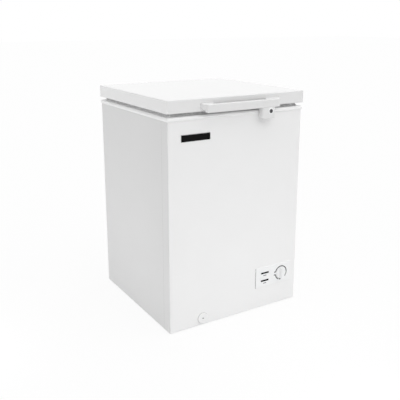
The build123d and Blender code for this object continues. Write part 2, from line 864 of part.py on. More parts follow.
def thermostat_knob():
    """Dial knob with a skirt, a grip ridge and its shaft."""
    back = front_face - panel_proud - seat_gap
    skirt_front = back - knob_skirt
    knob = rod(knob_radius, (knob_x, back, panel_z), (knob_x, skirt_front, panel_z))
    knob = chamfer(knob.edges().filter_by(GeomType.CIRCLE).sort_by(Axis.Y)[0], 1)
    half = grip_width / 2
    tip = back - knob_depth
    ridge = [(-half - 2, skirt_front + 1), (-half, tip), (half, tip), (half + 2, skirt_front + 1)]
    outline = make_face(Polyline(*[(knob_x + x, y, panel_z) for x, y in ridge], close=True))
    grip = extrude(outline, knob_radius - 1.5, dir=(0, 0, 1), both=True)
    knob += grip & rod(knob_radius - 1, (knob_x, back, panel_z), (knob_x, tip, panel_z))
    depth = front_face + panel_wall + 12
    return knob + rod(shaft_radius, (knob_x, back - 1, panel_z), (knob_x, depth, panel_z))


def drain_space(grow):
    """Outside of the drain elbow, grown by an amount."""
    route = [(drain_x, drain_y, liner_floor), (drain_x, drain_y, drain_z), (drain_x, front_face, drain_z)]
    return bent_rod(drain_radius + grow, route)


def drain_tube():
    """Moulded elbow from the floor of the liner to the front, with its floor flange."""
    seat = liner_floor + drain_flange
    elbow = drain_space(0)
    elbow += rod(drain_flange_radius, (drain_x, drain_y, liner_floor), (drain_x, drain_y, seat))
    bore = [(drain_x, drain_y, seat + 1), (drain_x, drain_y, drain_z), (drain_x, front_face - 1, drain_z)]
    return elbow - bent_rod(drain_bore, bore)


def drain_plug():
    """Stopper in the floor of the liner with a grip ring on top."""
    seat = liner_floor + drain_flange + seat_gap
    stem = rod(drain_bore - seat_gap, (drain_x, drain_y, seat - 12), (drain_x, drain_y, seat + 1))
    head = rod(plug_head_radius, (drain_x, drain_y, seat), (drain_x, drain_y, seat + 4))
    grip = block((drain_x - 2, drain_x + 2), (drain_y - 9, drain_y + 9), (seat + 4, seat + 14))
    return stem + head + grip


def drain_cap():
    """Round cap at the foot of the front that closes the drain outlet."""
    back = front_face - seat_gap
    front = back - drain_cap_depth
    cap = rod(drain_cap_radius, (drain_x, back, drain_z), (drain_x, front, drain_z))
    rims = cap.edges().filter_by(GeomType.CIRCLE).sort_by(Axis.Y)
    cap = chamfer(rims[0], 1.5)
    cap -= hex_bar(4, (drain_x, front - 1, drain_z), (drain_x, front + 1.5, drain_z))
    stem = (back - 1, front_face + 12)
    return cap + rod(drain_bore - seat_gap, (drain_x, stem[0], drain_z), (drain_x, stem[1], drain_z))


# ---- Lid ----
def lid_slab(inset, z):
    """Plan of the lid, moved in by an inset, between two levels."""
    half_y = (lid_rear - lid_front) / 2
    plan = slab(half_width + lid_overhang - inset, half_y - inset, max(lid_edge - inset, 0.5), z)
    return Pos(0, (lid_rear + lid_front) / 2, 0) * plan


def lid_skin():
    """Pressed steel pan of the lid."""
    shell = lid_slab(0, (lid_bottom, lid_top))
    shell = fillet(shell.edges().group_by(Axis.Z)[-1], lid_edge - 0.1)
    shell -= lid_slab(sheet, (0, lid_top - sheet))
    return cut_by(shell, handle_screw_set() + leaf_screw_set())


def plug_block(inset, top):
    """Raised middle of the lid's inner face, drawn in towards its underside."""
    grow = ledge_width - plug_clearance - inset
    plan = RectangleRounded(2 * (liner_x + grow), 2 * (liner_y + grow), liner_radius + grow)
    low = plug_bottom + inset
    return Pos(0, 0, top) * extrude(plan, -(top - low), taper=plug_draft)


def lid_liner():
    """Moulded inner face of the lid: flat rim, raised plug."""
    top = lid_bottom + lid_liner_wall
    plate = lid_slab(sheet, (lid_bottom, top)) + plug_block(0, lid_bottom)
    return plate - plug_block(lid_liner_wall, top)


def lid_foam():
    """Insulation between the lid's skin and its inner face."""
    top = lid_bottom + lid_liner_wall
    foam = lid_slab(sheet, (top, lid_top - sheet)) + plug_block(lid_liner_wall, top)
    return cut_by(foam, handle_screw_set() + leaf_screw_set())


def gasket_ring(outer, width, z):
    """Ring with square corners, inset from the edges of the lid."""
    x = half_width + lid_overhang - outer
    y0, y1 = lid_front + outer, lid_rear - outer
    ring = block((-x, x), (y0, y1), z)
    return ring - block((width - x, x - width), (y0 + width, y1 - width), z)


def lid_gasket():
    """Magnetic seal: mounting strip, bellows and the magnet pocket that meets the trim."""
    low, high = trim_top + seat_gap, lid_bottom
    pocket, strip = 5.0, 2.5
    seal = gasket_ring(gasket_inset, gasket_width, (high - strip, high))
    waist = 3.5
    seal += gasket_ring(gasket_inset + waist, gasket_width - 2 * waist, (low + pocket, high - strip))
    return seal + gasket_ring(gasket_inset + 1, gasket_width - 2, (low, low + pocket))


# ---- Handle and lock ----
def handle_plan():
    """Plan of the grip bar with its tapering ends, as a face at the bar's underside."""
    left, right = handle_tips
    points = [(left, lid_front), (left + handle_taper, handle_front)]
    points += [(right - handle_taper, handle_front), (right, lid_front)]
    face = make_face(Polyline(*[(x, y, handle_bottom) for x, y in points], close=True))
    corners = face.vertices().group_by(Axis.Y)[0]
    return fillet(corners, handle_corner)


def tip_cut(tip, inwards):
    """Space under one tip of the handle, where its underside rises to the lid."""
    edge = tip + inwards * (handle_taper + 2)
    low = handle_bottom - 1
    outline = [(tip - inwards, low), (edge, low), (edge, handle_bottom)]
    outline += [(tip, handle_bottom + tip_rise), (tip - inwards, handle_bottom + tip_rise)]
    return front_profile(outline, (handle_front - 1, lid_front))


def handle():
    """Moulded grip with a finger gap, sloping shoulders and the hanging lock housing."""
    grip = extrude(handle_plan(), handle_height, dir=(0, 0, 1))
    edges = grip.faces().group_by(Axis.Z)[-1].edges() + grip.faces().group_by(Axis.Z)[0].edges()
    grip = chamfer(edges.filter_by(lambda edge: edge.center().Y < lid_front - 1), handle_edge)
    top = handle_top
    shoulder = [(lid_front, top - 3), (lid_front, top + shoulder_rise), (handle_front + 6, top - 3)]
    left, right = handle_tips
    for x in ((left + shoulder_inset, finger_left), (finger_right, right - shoulder_inset)):
        flare = side_profile(shoulder, x)
        grip += flare & extrude(handle_plan(), far, dir=(0, 0, 1))
    gap = block((finger_left, finger_right), (lid_front - bar_thickness, lid_front), (0, far))
    grip -= fillet(gap.edges().filter_by(Axis.Z).group_by(Axis.Y)[0], finger_corner)
    grip -= tip_cut(left, 1)
    grip -= tip_cut(right, -1)
    grip += lock_housing()
    grip -= rod(barrel_radius, (lock_x, handle_front - 1, lock_z), (lock_x, lid_front, lock_z))
    return cut_by(grip, handle_screw_set())


def lock_housing():
    """Box that hangs from the grip in front of the strike, open at its back and bottom."""
    left = lock_x - housing_left
    x = (left, left + housing_width)
    front = handle_front + lock_proud
    back = front_face - 6
    top = handle_bottom + 8
    box = block(x, (front, back), (housing_bottom, top))
    box = fillet(box.edges().filter_by(Axis.Z).group_by(Axis.Y)[0], housing_corner)
    inner = block(
        (x[0] + housing_wall, x[1] - housing_wall),
        (front + housing_wall, back + 1),
        (housing_bottom - 1, handle_bottom),
    )
    inner = fillet(inner.edges().filter_by(Axis.Z).group_by(Axis.Y)[0], housing_corner - housing_wall)
    corners = block(x, (front - 1, back + 1), (housing_bottom, top))
    corners = fillet(corners.edges().filter_by(Axis.Y).group_by(Axis.Z)[0], housing_foot)
    above_gap = block(x, (lid_front - bar_thickness, lid_front), (handle_bottom, far))
    return (box & corners) - inner - above_gap


def handle_screw_places():
    """Screw positions of the handle, as (x, z)."""
    z = handle_bottom + 0.6 * handle_height
    left = (handle_tips[0] + finger_left) / 2 + 4
    right = (handle_tips[1] + finger_right) / 2 + 4
    return [(left, z), (right, z)]


def handle_screw_set():
    """Screws from inside the lid into the ends of the handle."""
    screws = []
    for x, z in handle_screw_places():
        seat = lid_front + sheet
        shank = hex_bar(screw_radius, (x, seat, z), (x, seat - 12, z))
        screws.append(shank + hex_bar(5, (x, seat, z), (x, seat + 3, z)))
    return screws


def lock_barrel():
    """Fixed sleeve of the lock with its ring on the front of the housing."""
    front = handle_front + lock_proud
    back = lid_front - bar_thickness
    sleeve = rod(barrel_radius - 0.1, (lock_x, front, lock_z), (lock_x, back, lock_z))
    ring = rod(lock_ring_radius, (lock_x, front - lock_proud, lock_z), (lock_x, front, lock_z))
    sleeve += chamfer(ring.edges().filter_by(GeomType.CIRCLE).sort_by(Axis.Y)[0], 0.5)
    return sleeve - rod(core_radius + running_fit, (lock_x, front - 9, lock_z), (lock_x, back + 9, lock_z))


def lock_core():
    """Turning core of the lock with its keyhole."""
    front = handle_front + 0.3
    back = lid_front - bar_thickness + seat_gap
    core = rod(core_radius, (lock_x, front, lock_z), (lock_x, back, lock_z))
    return core - block((lock_x - 0.8, lock_x + 0.8), (front - 1, front + 6), (lock_z - 3.5, lock_z + 3.5))


def lock_cam():
    """Cam on the back of the core; it hangs down when unlocked."""
    y = lid_front - bar_thickness + seat_gap
    half = cam_width / 2
    hub = rod(core_radius, (lock_x, y, lock_z), (lock_x, y + cam_thickness, lock_z))
    reach = lock_z - cam_length + half
    arm = block((lock_x - half, lock_x + half), (y, y + cam_thickness), (reach, lock_z))
    return hub + arm + rod(half, (lock_x, y, reach), (lock_x, y + cam_thickness, reach))


def strike_x():
    """Sideways limits of the strike, beside the lock's core."""
    low = lock_x + barrel_radius + 1.0
    return low, low + strike_width


def lock_strike():
    """Folded bracket on the cabinet that reaches over the turned cam."""
    skirt_bottom = trim_top - trim_skirt
    clear = front_face - trim_overhang - seat_gap
    hook_low = lock_z + cam_width / 2 + 1.5
    tip = lid_front - bar_thickness + seat_gap - strike_lap
    t = strike_sheet
    step = skirt_bottom - 2
    outline = [(front_face, step - 16), (front_face, step - t), (clear, step - t)]
    outline += [(clear, hook_low + t), (tip, hook_low + t), (tip, hook_low), (clear - t, hook_low)]
    outline += [(clear - t, step - 2 * t), (front_face - t, step - 2 * t), (front_face - t, step - 16)]
    return cut_by(side_profile(outline, strike_x()), strike_screw_set())


def strike_screw_places():
    """Screw position of the strike, as (x, z)."""
    low, high = strike_x()
    return [((low + high) / 2, trim_top - trim_skirt - 12)]


def strike_screw_set():
    """Screw that holds the strike to the front panel."""
    screws = []
    for x, z in strike_screw_places():
        seat = front_face - strike_sheet
        shank = hex_bar(screw_radius, (x, seat, z), (x, seat + 12, z))
        screws.append(shank + hex_bar(4, (x, seat, z), (x, seat - 2, z)))
    return screws


# ---- Hinges ----
def hinge_bracket(x):
    """Channel on the rear of the cabinet that holds the pin and the spring's seat."""
    half = hinge_width / 2
    clear = rear_face + trim_overhang + 0.5
    plate_top = hinge_plate_top
    ear = 10.0
    face = rear_sheet_face
    back = rear_face + hinge_reach
    low = hinge_bottom + 10
    outline = [(face, low), (back, low), (back, pin_height - 18), (hinge_y + ear, pin_height)]
    outline += [(hinge_y - ear, pin_height), (clear, pin_height - 8), (clear, plate_top), (face, plate_top)]
    bracket = None
    for side in (-1, 1):
        wall_x = sorted((x + side * half, x + side * (half - hinge_plate)))
        cheek = side_profile(outline, wall_x)
        cheek += rod(ear, (wall_x[0], hinge_y, pin_height), (wall_x[1], hinge_y, pin_height))
        bracket = cheek if bracket is None else bracket + cheek
    bracket += block((x - half, x + half), (face, face + hinge_plate), (hinge_bottom - 10, plate_top))
    seat = block((x - half, x + half), (face, back), (low, low + hinge_plate))
    bracket += seat - rod(pin_radius + 0.3, (x, hinge_y, 0), (x, hinge_y, far))
    ends = (x - hinge_width, x + hinge_width)
    bracket -= rod(pin_radius + running_fit, (ends[0], hinge_y, pin_height), (ends[1], hinge_y, pin_height))
    return cut_by(bracket, hinge_screw_set())


def hinge_screw_places():
    """Screw positions of both hinge brackets, as (x, z)."""
    places = []
    for x in (-hinge_x, hinge_x):
        for z in (hinge_bottom, hinge_plate_top - 17):
            places += [(x - 12, z), (x + 12, z)]
    return places


def hinge_screw_set():
    """Screws through the hinge plates into the rear of the cabinet."""
    seat = rear_sheet_face + hinge_plate
    return [screw(x, seat, z, hinge_screw) for x, z in hinge_screw_places()]


def hinge_pins():
    """Two headed pins on the common axis of the lid."""
    pins = []
    for side in (-1, 1):
        seat = side * hinge_x - hinge_width / 2 - 0.2
        end = seat + hinge_width + 1.7
        pin = rod(pin_radius, (seat, hinge_y, pin_height), (end, hinge_y, pin_height))
        pins.append(pin + hex_bar(6, (seat - 2.3, hinge_y, pin_height), (seat, hinge_y, pin_height)))
    return Compound(children=pins)


def cam_outline():
    """Lobe round the pin whose reach below it falls evenly as the lid opens."""
    rate = cam_drop / radians(lid_opening)
    points = []
    steps = 8
    for k in range(steps + 1):
        turn = radians(lid_opening) * k / steps
        reach = cam_lobe - rate * turn
        y = reach * sin(turn) - rate * cos(turn)
        z = -reach * cos(turn) - rate * sin(turn)
        points.append((hinge_y + y, pin_height + z))
    return points


def hinge_leaf(x):
    """Lid arm of the hinge: plate behind the lid, two ears and the cam between them."""
    inner = hinge_width / 2 - hinge_plate - 0.4
    back = lid_rear + hinge_plate
    low = lid_bottom + 1
    eye = 8.0
    plate = block((x - leaf_width / 2, x + leaf_width / 2), (lid_rear, back), (low, lid_top - 5))
    neck = [(back - 0.5, low), (hinge_y - eye + 3, pin_height), (hinge_y + eye, pin_height)]
    neck += [(hinge_y + eye - 2, pin_height + 7), (back - 0.5, low + 26)]
    leaf = plate
    for side in (-1, 1):
        ear_x = sorted((x + side * inner, x + side * (inner - hinge_plate)))
        ear = side_profile(neck, ear_x)
        leaf += ear + rod(eye, (ear_x[0], hinge_y, pin_height), (ear_x[1], hinge_y, pin_height))
    width = (x - inner, x + inner)
    lobe = cam_outline() + [(hinge_y + 4, pin_height + 5), (hinge_y - 4, pin_height + 5)]
    lobe.append((hinge_y - 6.5, pin_height))
    leaf += side_profile(lobe, width)
    ends = (x - hinge_width, x + hinge_width)
    leaf -= rod(pin_radius + running_fit, (ends[0], hinge_y, pin_height), (ends[1], hinge_y, pin_height))
    return cut_by(leaf, leaf_screw_set())


def leaf_screw_places():
    """Screw positions of both hinge leaves, as (x, z)."""
    z = lid_top - 13
    reach = leaf_width / 2 - 8
    return [(side * hinge_x + dx, z) for side in (-1, 1) for dx in (-reach, reach)]


def leaf_screw_set():
    """Screws through the leaves into the rear of the lid."""
    return [screw(x, lid_rear + hinge_plate, z, hinge_screw) for x, z in leaf_screw_places()]


def plunger_top():
    """Level of the plunger's head under the cam with the lid closed."""
    return pin_height - cam_lobe - seat_gap


def hinge_plunger(x):
    """Sliding head that the spring presses up against the cam."""
    top = plunger_top()
    head = block((x - 14, x + 14), (hinge_y - 10, hinge_y + 10), (top - 4, top))
    return head + rod(pin_radius, (x, hinge_y, hinge_bottom), (x, hinge_y, top - 3))


def hinge_spring(x):
    """Compression spring between its seat in the bracket and the plunger's head."""
    low = hinge_bottom + 10 + hinge_plate
    high = plunger_top() - 4 - 2 * seat_gap
    mean = spring_radius - spring_wire / 2
    rise = high - low - spring_wire
    steps = 9 * spring_turns
    points = []
    for k in range(steps + 1):
        turn = 2 * pi * k / 9
        z = low + spring_wire / 2 + rise * k / steps
        points.append((x + mean * cos(turn), hinge_y + mean * sin(turn), z))
    return bent_rod(spring_wire / 2, points, 4)


# ---- Basket ----
def basket_limits():
    """Centre lines of the basket's rim: x pair, y reach and level."""
    right = liner_x - basket_side_gap - basket_wire
    z = ledge_top + seat_gap + basket_wire
    return (right - basket_width + 2 * basket_wire, right), liner_y + 3, z


def basket_rim():
    """Heavy wire rim whose long ends lie on the ledge of the trim."""
    (x0, x1), y, z = basket_limits()
    radius = basket_wire
    rim = None
    for end_y in (-y, y):
        bar = bent_rod(radius, [(x0 - radius, end_y, z), (x1 + radius, end_y, z)], 8)
        rim = bar if rim is None else rim + bar
    for x in (x0, x1):
        rim += bent_rod(radius, [(x, -y, z), (x, y, z)], 8)
    return rim


def basket_wires():
    """Light wires laid over each other: hoops front to back, hoops side to side."""
    (x0, x1), y, z = basket_limits()
    low = z - basket_depth
    inner_y = liner_y - basket_side_gap / 2 - basket_mesh_wire
    step = 2 * basket_mesh_wire
    rim_side = basket_wire + basket_mesh_wire
    under = z - basket_wire - basket_mesh_wire
    wires = []
    for k in range(long_hoops):
        x = x0 + rim_side + (x1 - x0 - 2 * rim_side) * (k + 0.5) / long_hoops
        top = z - basket_wire + basket_mesh_wire
        hoop = [(x, -y + basket_wire, top), (x, -inner_y, top), (x, -inner_y, low)]
        hoop += [(x, inner_y, low), (x, inner_y, top), (x, y - basket_wire, top)]
        wires.append(bent_rod(basket_mesh_wire, hoop, 6))
    for k in range(cross_hoops):
        hoop_y = (inner_y - step) * (2 * (k + 0.5) / cross_hoops - 1)
        hoop = [(x0, hoop_y, under), (x0, hoop_y, low + step)]
        hoop += [(x1, hoop_y, low + step), (x1, hoop_y, under)]
        wires.append(bent_rod(basket_mesh_wire, hoop, 6))
    return Compound(children=wires)


# ---- Assembly ----
def pieces():
    """Every node of the freezer by name."""
    left, right = -hinge_x, hinge_x
    return {
        "front_panel": front_panel(),
        "left_side_panel": side_panel(-1),
        "right_side_panel": right_side_panel(),
        "rear_panel": rear_panel(),
        "base_plate": base_plate(),
        "top_trim": top_trim(),
        "inner_liner": inner_liner(),
        "cabinet_foam": cabinet_foam(),
        "evaporator_coil": evaporator_coil(),
        "condenser_coil": condenser_coil(),
        "machine_room_panel": machine_room_panel(),
        "compressor_tray": compressor_tray(),
        "compressor": compressor(),
        "compressor_motor": compressor_motor(),
        "compressor_mounts": compressor_mounts(),
        "compressor_bolts": Compound(children=compressor_bolt_set()),
        "relay_box": relay_box(),
        "discharge_line": discharge_line(),
        "suction_line": suction_line(),
        "filter_drier": filter_drier(),
        "capillary_tube": capillary_tube(),
        "side_vent_grille": side_vent_grille(),
        "rear_cover": rear_cover(),
        "cover_screws": Compound(children=cover_screw_set()),
        "cord_gland": cord_gland(),
        "feet": feet(),
        "foot_screws": Compound(children=foot_screw_set()),
        "badge_plate": badge_plate(),
        "control_panel": control_panel(),
        "indicator_lenses": indicator_lenses(),
        "thermostat_body": thermostat_body(),
        "thermostat_knob": thermostat_knob(),
        "drain_tube": drain_tube(),
        "drain_plug": drain_plug(),
        "drain_cap": drain_cap(),
        "lock_strike": lock_strike(),
        "strike_screw": Compound(children=strike_screw_set()),
        "lid_skin": lid_skin(),
        "lid_foam": lid_foam(),
        "lid_liner": lid_liner(),
        "lid_gasket": lid_gasket(),
        "handle": handle(),
        "handle_screws": Compound(children=handle_screw_set()),
        "lock_barrel": lock_barrel(),
        "lock_core": lock_core(),
        "lock_cam": lock_cam(),
        "left_hinge_bracket": hinge_bracket(left),
        "right_hinge_bracket": hinge_bracket(right),
        "hinge_screws": Compound(children=hinge_screw_set()),
        "hinge_pins": hinge_pins(),
        "left_hinge_leaf": hinge_leaf(left),
        "right_hinge_leaf": hinge_leaf(right),
        "leaf_screws": Compound(children=leaf_screw_set()),
        "left_hinge_plunger": hinge_plunger(left),
        "right_hinge_plunger": hinge_plunger(right),
        "hinge_springs": Compound(children=[hinge_spring(left), hinge_spring(right)]),
        "basket_rim": basket_rim(),
        "basket_wires": basket_wires(),
    }


os.makedirs("parts", exist_ok=True)
for name, piece in pieces().items():
    export_step(piece, f"parts/{name}.step")
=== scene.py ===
"""Looks for a small chest freezer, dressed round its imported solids.

The solids come in as a fixed frame, in metres: X to the right, Y to the back and Z up.
Each finish is a small class that builds one procedural material, and each printed or
sealed detail that the solids leave out is a class that models it.
"""

import logging
import math
from abc import ABC, abstractmethod
from dataclasses import dataclass, field
from enum import Enum
from typing import Callable

import bpy
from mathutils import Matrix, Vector


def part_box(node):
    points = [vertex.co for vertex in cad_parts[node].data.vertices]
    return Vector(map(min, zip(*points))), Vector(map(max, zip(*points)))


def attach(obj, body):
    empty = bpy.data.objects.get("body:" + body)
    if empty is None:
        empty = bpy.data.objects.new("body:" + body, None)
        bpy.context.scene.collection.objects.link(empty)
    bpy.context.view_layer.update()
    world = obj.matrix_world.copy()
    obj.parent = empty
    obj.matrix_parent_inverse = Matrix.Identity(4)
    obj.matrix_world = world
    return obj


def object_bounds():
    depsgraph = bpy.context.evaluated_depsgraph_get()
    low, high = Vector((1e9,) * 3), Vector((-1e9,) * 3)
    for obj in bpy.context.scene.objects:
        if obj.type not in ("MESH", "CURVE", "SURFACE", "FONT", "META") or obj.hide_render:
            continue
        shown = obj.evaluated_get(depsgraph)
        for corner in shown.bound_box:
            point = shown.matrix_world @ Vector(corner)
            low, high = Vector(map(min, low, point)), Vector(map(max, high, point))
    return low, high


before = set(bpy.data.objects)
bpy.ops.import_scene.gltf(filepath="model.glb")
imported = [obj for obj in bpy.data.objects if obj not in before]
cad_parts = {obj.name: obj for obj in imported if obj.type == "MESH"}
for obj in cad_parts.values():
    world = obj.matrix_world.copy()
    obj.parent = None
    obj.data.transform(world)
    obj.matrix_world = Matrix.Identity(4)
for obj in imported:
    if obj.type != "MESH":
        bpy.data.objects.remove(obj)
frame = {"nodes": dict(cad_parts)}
SOLID_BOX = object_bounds()

LOG = logging.getLogger("chest_freezer")
MM = 0.001

Colour = tuple[float, float, float]
Triple = tuple[float, float, float]
Socket = bpy.types.NodeSocket

EVEN: Triple = (1.0, 1.0, 1.0)
# Turn that stands a level plane up, to face the front
FACING_FRONT: Triple = (math.pi / 2, 0.0, 0.0)

# Softened edges of the modelled pieces
EDGE_SHARE = 1 / 3
EDGE_SEGMENTS = 2
SHARP_ANGLE = math.radians(50.0)
SMOOTH_ANGLE = math.radians(35.0)

# Softened edges and tone borders in the finishes
EDGE_SAMPLES = 8
TONE_BLEND = 1.0 * MM


class Slot(Enum):
    """Material slots of the solids."""

    SHEET = "white_sheet"
    GALVANISED = "galvanised"
    LINER = "liner_metal"
    PLASTIC = "white_plastic"
    GLOSS = "gloss_white"
    GASKET = "grey_gasket"
    FOAM = "foam"
    COPPER = "copper_tube"
    COMPRESSOR = "compressor_black"
    IRON = "motor_iron"
    BLACK_RUBBER = "black_rubber"
    BLACK_PLASTIC = "black_plastic"
    BADGE = "badge_black"
    LENS = "lens_dark"
    ZINC = "zinc"
    LOCK = "lock_metal"
    SPRING = "spring_steel"
    BASKET = "basket_coat"
    GREY_PLASTIC = "grey_plastic"


class Texture(Enum):
    """Kinds of pattern, each with its node, that node's settings and the output to read."""

    NOISE = ("ShaderNodeTexNoise", {}, "Fac")
    CELLS = ("ShaderNodeTexVoronoi", {"feature": "F1"}, "Distance")
    GRAINS = ("ShaderNodeTexVoronoi", {"feature": "F1"}, "Color")
    GRAIN_EDGES = ("ShaderNodeTexVoronoi", {"feature": "DISTANCE_TO_EDGE"}, "Distance")


class LampKind(Enum):
    """Kinds of lamp in the studio."""

    BROAD = "SUN"
    PANEL = "AREA"


@dataclass(frozen=True)
class Pattern:
    """A texture at its scale: ripples or cells per metre, octaves and stretch of the axes."""

    scale: float
    detail: float = 3.0
    texture: Texture = Texture.NOISE
    stretch: Triple = EVEN


@dataclass(frozen=True)
class Bumps:
    """A pattern as relief, with its strength from 0 to 1 and its depth in metres."""

    pattern: Pattern
    strength: float
    depth: float


def grey(level: float) -> Colour:
    """A neutral linear colour."""
    return level, level, level


def shaded(colour: Colour, share: float) -> Colour:
    """A tone of a colour.

    Args:
        colour: Linear colour.
        share: Share of it that is kept.

    Returns:
        The darker or lighter colour.
    """
    red, green, blue = colour
    return red * share, green * share, blue * share


# ---- Node trees ----
class Graph:
    """A node tree, with short calls for what the finishes and the surround share."""

    def __init__(self, tree: bpy.types.NodeTree) -> None:
        """Takes up a node tree.

        Args:
            tree: Tree of a material or of the surround.
        """
        self.tree = tree

    def add(self, kind: str, **settings: object) -> bpy.types.Node:
        """Adds a node and sets its plain properties.

        Args:
            kind: Blender's name of the node type.
            **settings: Properties of the node and their values.

        Returns:
            The new node.
        """
        node = self.tree.nodes.new(kind)
        for name, value in settings.items():
            setattr(node, name, value)
        return node

    def wire(self, source: Socket, target: Socket) -> None:
        """Links an output to an input."""
        self.tree.links.new(source, target)

    def spread(
        self, source: Socket, low: float, high: float, start: float = 0.0, end: float = 1.0
    ) -> Socket:
        """Maps a factor onto another range.

        Args:
            source: Factor to map.
            low: Result at the start of the factor's range.
            high: Result at its end.
            start: Start of the factor's range.
            end: End of that range.

        Returns:
            The mapped value.
        """
        node = self.add("ShaderNodeMapRange")
        limits = {"From Min": start, "From Max": end, "To Min": low, "To Max": high}
        for name, value in limits.items():
            node.inputs[name].default_value = value
        self.wire(source, node.inputs["Value"])
        return node.outputs["Result"]

    def seen(self) -> Socket:
        """Whether a ray shows the background, straight, mirrored or through glass.

        Returns:
            A factor of 1 for such rays.
        """
        path = self.add("ShaderNodeLightPath")
        total = path.outputs["Is Camera Ray"]
        for name in ("Is Glossy Ray", "Is Transmission Ray"):
            either = self.add("ShaderNodeMath", operation="MAXIMUM")
            self.wire(total, either.inputs[0])
            self.wire(path.outputs[name], either.inputs[1])
            total = either.outputs["Value"]
        return total


class FinishGraph(Graph):
    """One material's node tree, round its shader."""

    def __init__(self, name: str) -> None:
        """Starts an empty finish.

        Args:
            name: Name of the new material.
        """
        self.material = bpy.data.materials.new(name)
        self.material.use_nodes = True
        super().__init__(self.material.node_tree)
        self.shader = self.tree.nodes["Principled BSDF"]

    def settle(self, **values: float | Colour) -> None:
        """Sets constants on the shader's own sockets.

        Args:
            **values: Socket names, with underscores for spaces, and their values.
        """
        for name, value in values.items():
            socket = self.shader.inputs[name.replace("_", " ")]
            socket.default_value = (*value, 1.0) if isinstance(value, tuple) else value

    def place(self, stretch: Triple = EVEN) -> Socket:
        """Object coordinates, stretched along the three axes.

        Args:
            stretch: Factor along X, Y and Z.

        Returns:
            The vector output.
        """
        mapping = self.add("ShaderNodeMapping")
        mapping.inputs["Scale"].default_value = stretch
        self.wire(self.add("ShaderNodeTexCoord").outputs["Object"], mapping.inputs["Vector"])
        return mapping.outputs["Vector"]

    def draw(self, pattern: Pattern) -> Socket:
        """Draws a pattern on the piece.

        Args:
            pattern: What it looks like.

        Returns:
            The output that varies over the surface.
        """
        kind, settings, output = pattern.texture.value
        node = self.add(kind, **settings)
        node.inputs["Scale"].default_value = pattern.scale
        if pattern.texture is Texture.NOISE:
            node.inputs["Detail"].default_value = pattern.detail
        self.wire(self.place(pattern.stretch), node.inputs["Vector"])
        return node.outputs[output]

    def tint(self, factor: Socket, first: Colour, second: Colour) -> None:
        """Colours the shader between two tones.

        Args:
            factor: Share of the second tone.
            first: Linear colour at 0.
            second: Linear colour at 1.
        """
        mix = self.add("ShaderNodeMix", data_type="RGBA")
        mix.inputs["A"].default_value = (*first, 1.0)
        mix.inputs["B"].default_value = (*second, 1.0)
        self.wire(factor, mix.inputs["Factor"])
        self.wire(mix.outputs["Result"], self.shader.inputs["Base Color"])

    def paint_side_shade(self, reach: float, share: float) -> None:
        """Paints shade on what lies beyond a reach to the left and right, darkening it.

        Args:
            reach: Distance from the middle, in metres, where the darker tone starts.
            share: Share of the colour that is kept there.
        """
        axes = self.add("ShaderNodeSeparateXYZ")
        self.wire(self.place(), axes.inputs["Vector"])
        outwards = self.add("ShaderNodeMath", operation="ABSOLUTE")
        self.wire(axes.outputs["X"], outwards.inputs[0])
        beyond = self.spread(outwards.outputs["Value"], 0.0, 1.0, reach, reach + TONE_BLEND)
        base = self.shader.inputs["Base Color"]
        mix = self.add("ShaderNodeMix", data_type="RGBA", blend_type="MULTIPLY")
        mix.inputs["B"].default_value = (*grey(share), 1.0)
        self.wire(beyond, mix.inputs["Factor"])
        self.wire(base.links[0].from_socket, mix.inputs["A"])
        self.wire(mix.outputs["Result"], base)

    def rounding(self, radius: float) -> Socket:
        """Normal that runs softly over the edges, as over a small moulded radius.

        Args:
            radius: Radius of the edge in metres.

        Returns:
            The normal output.
        """
        node = self.add("ShaderNodeBevel", samples=EDGE_SAMPLES)
        node.inputs["Radius"].default_value = radius
        return node.outputs["Normal"]

    def relief(self, *layers: Bumps, radius: float = 0.0) -> None:
        """Lays bumps over each other on the surface.

        Args:
            *layers: Layers of relief, the deepest first.
            radius: Softness of the edges in metres, if they are soft.
        """
        normal = self.rounding(radius) if radius else None
        for layer in layers:
            bump = self.add("ShaderNodeBump")
            bump.inputs["Strength"].default_value = layer.strength
            bump.inputs["Distance"].default_value = layer.depth
            self.wire(self.draw(layer.pattern), bump.inputs["Height"])
            if normal is not None:
                self.wire(normal, bump.inputs["Normal"])
            normal = bump.outputs["Normal"]
        self.wire(normal, self.shader.inputs["Normal"])


# ---- Finishes ----
@dataclass(frozen=True)
class Finish(ABC):
    """A procedural material whose tone and gloss drift over the surface.

    The tone drifts between two shares of the colour. The roughness goes from a little
    under its middle value to a little over it.
    """

    colour: Colour
    first_share: float = 1.0
    second_share: float = 1.0
    roughness: float = 0.5
    smoother: float = 0.1
    rougher: float = 0.1

    def build(self, name: str) -> bpy.types.Material:
        """Builds the material.

        Args:
            name: Name of the new material.

        Returns:
            The finished material.
        """
        graph = FinishGraph(name)
        self.shade(graph)
        return graph.material

    def drift_tone(self, graph: FinishGraph, factor: Socket) -> None:
        """Lets the colour drift between its two shares.

        Args:
            graph: Node tree of the material.
            factor: How far the tone goes towards the second share.
        """
        first = shaded(self.colour, self.first_share)
        second = shaded(self.colour, self.second_share)
        graph.tint(factor, first, second)

    def drift_gloss(self, graph: FinishGraph, factor: Socket) -> None:
        """Lets the roughness drift about its middle value.

        Args:
            graph: Node tree of the material.
            factor: 0 where it is smoothest, 1 where it is roughest.
        """
        low, high = self.roughness - self.smoother, self.roughness + self.rougher
        graph.wire(graph.spread(factor, low, high), graph.shader.inputs["Roughness"])

    @abstractmethod
    def shade(self, graph: FinishGraph) -> None:
        """Fills the material's node tree.

        Args:
            graph: Node tree with nothing but its shader.
        """


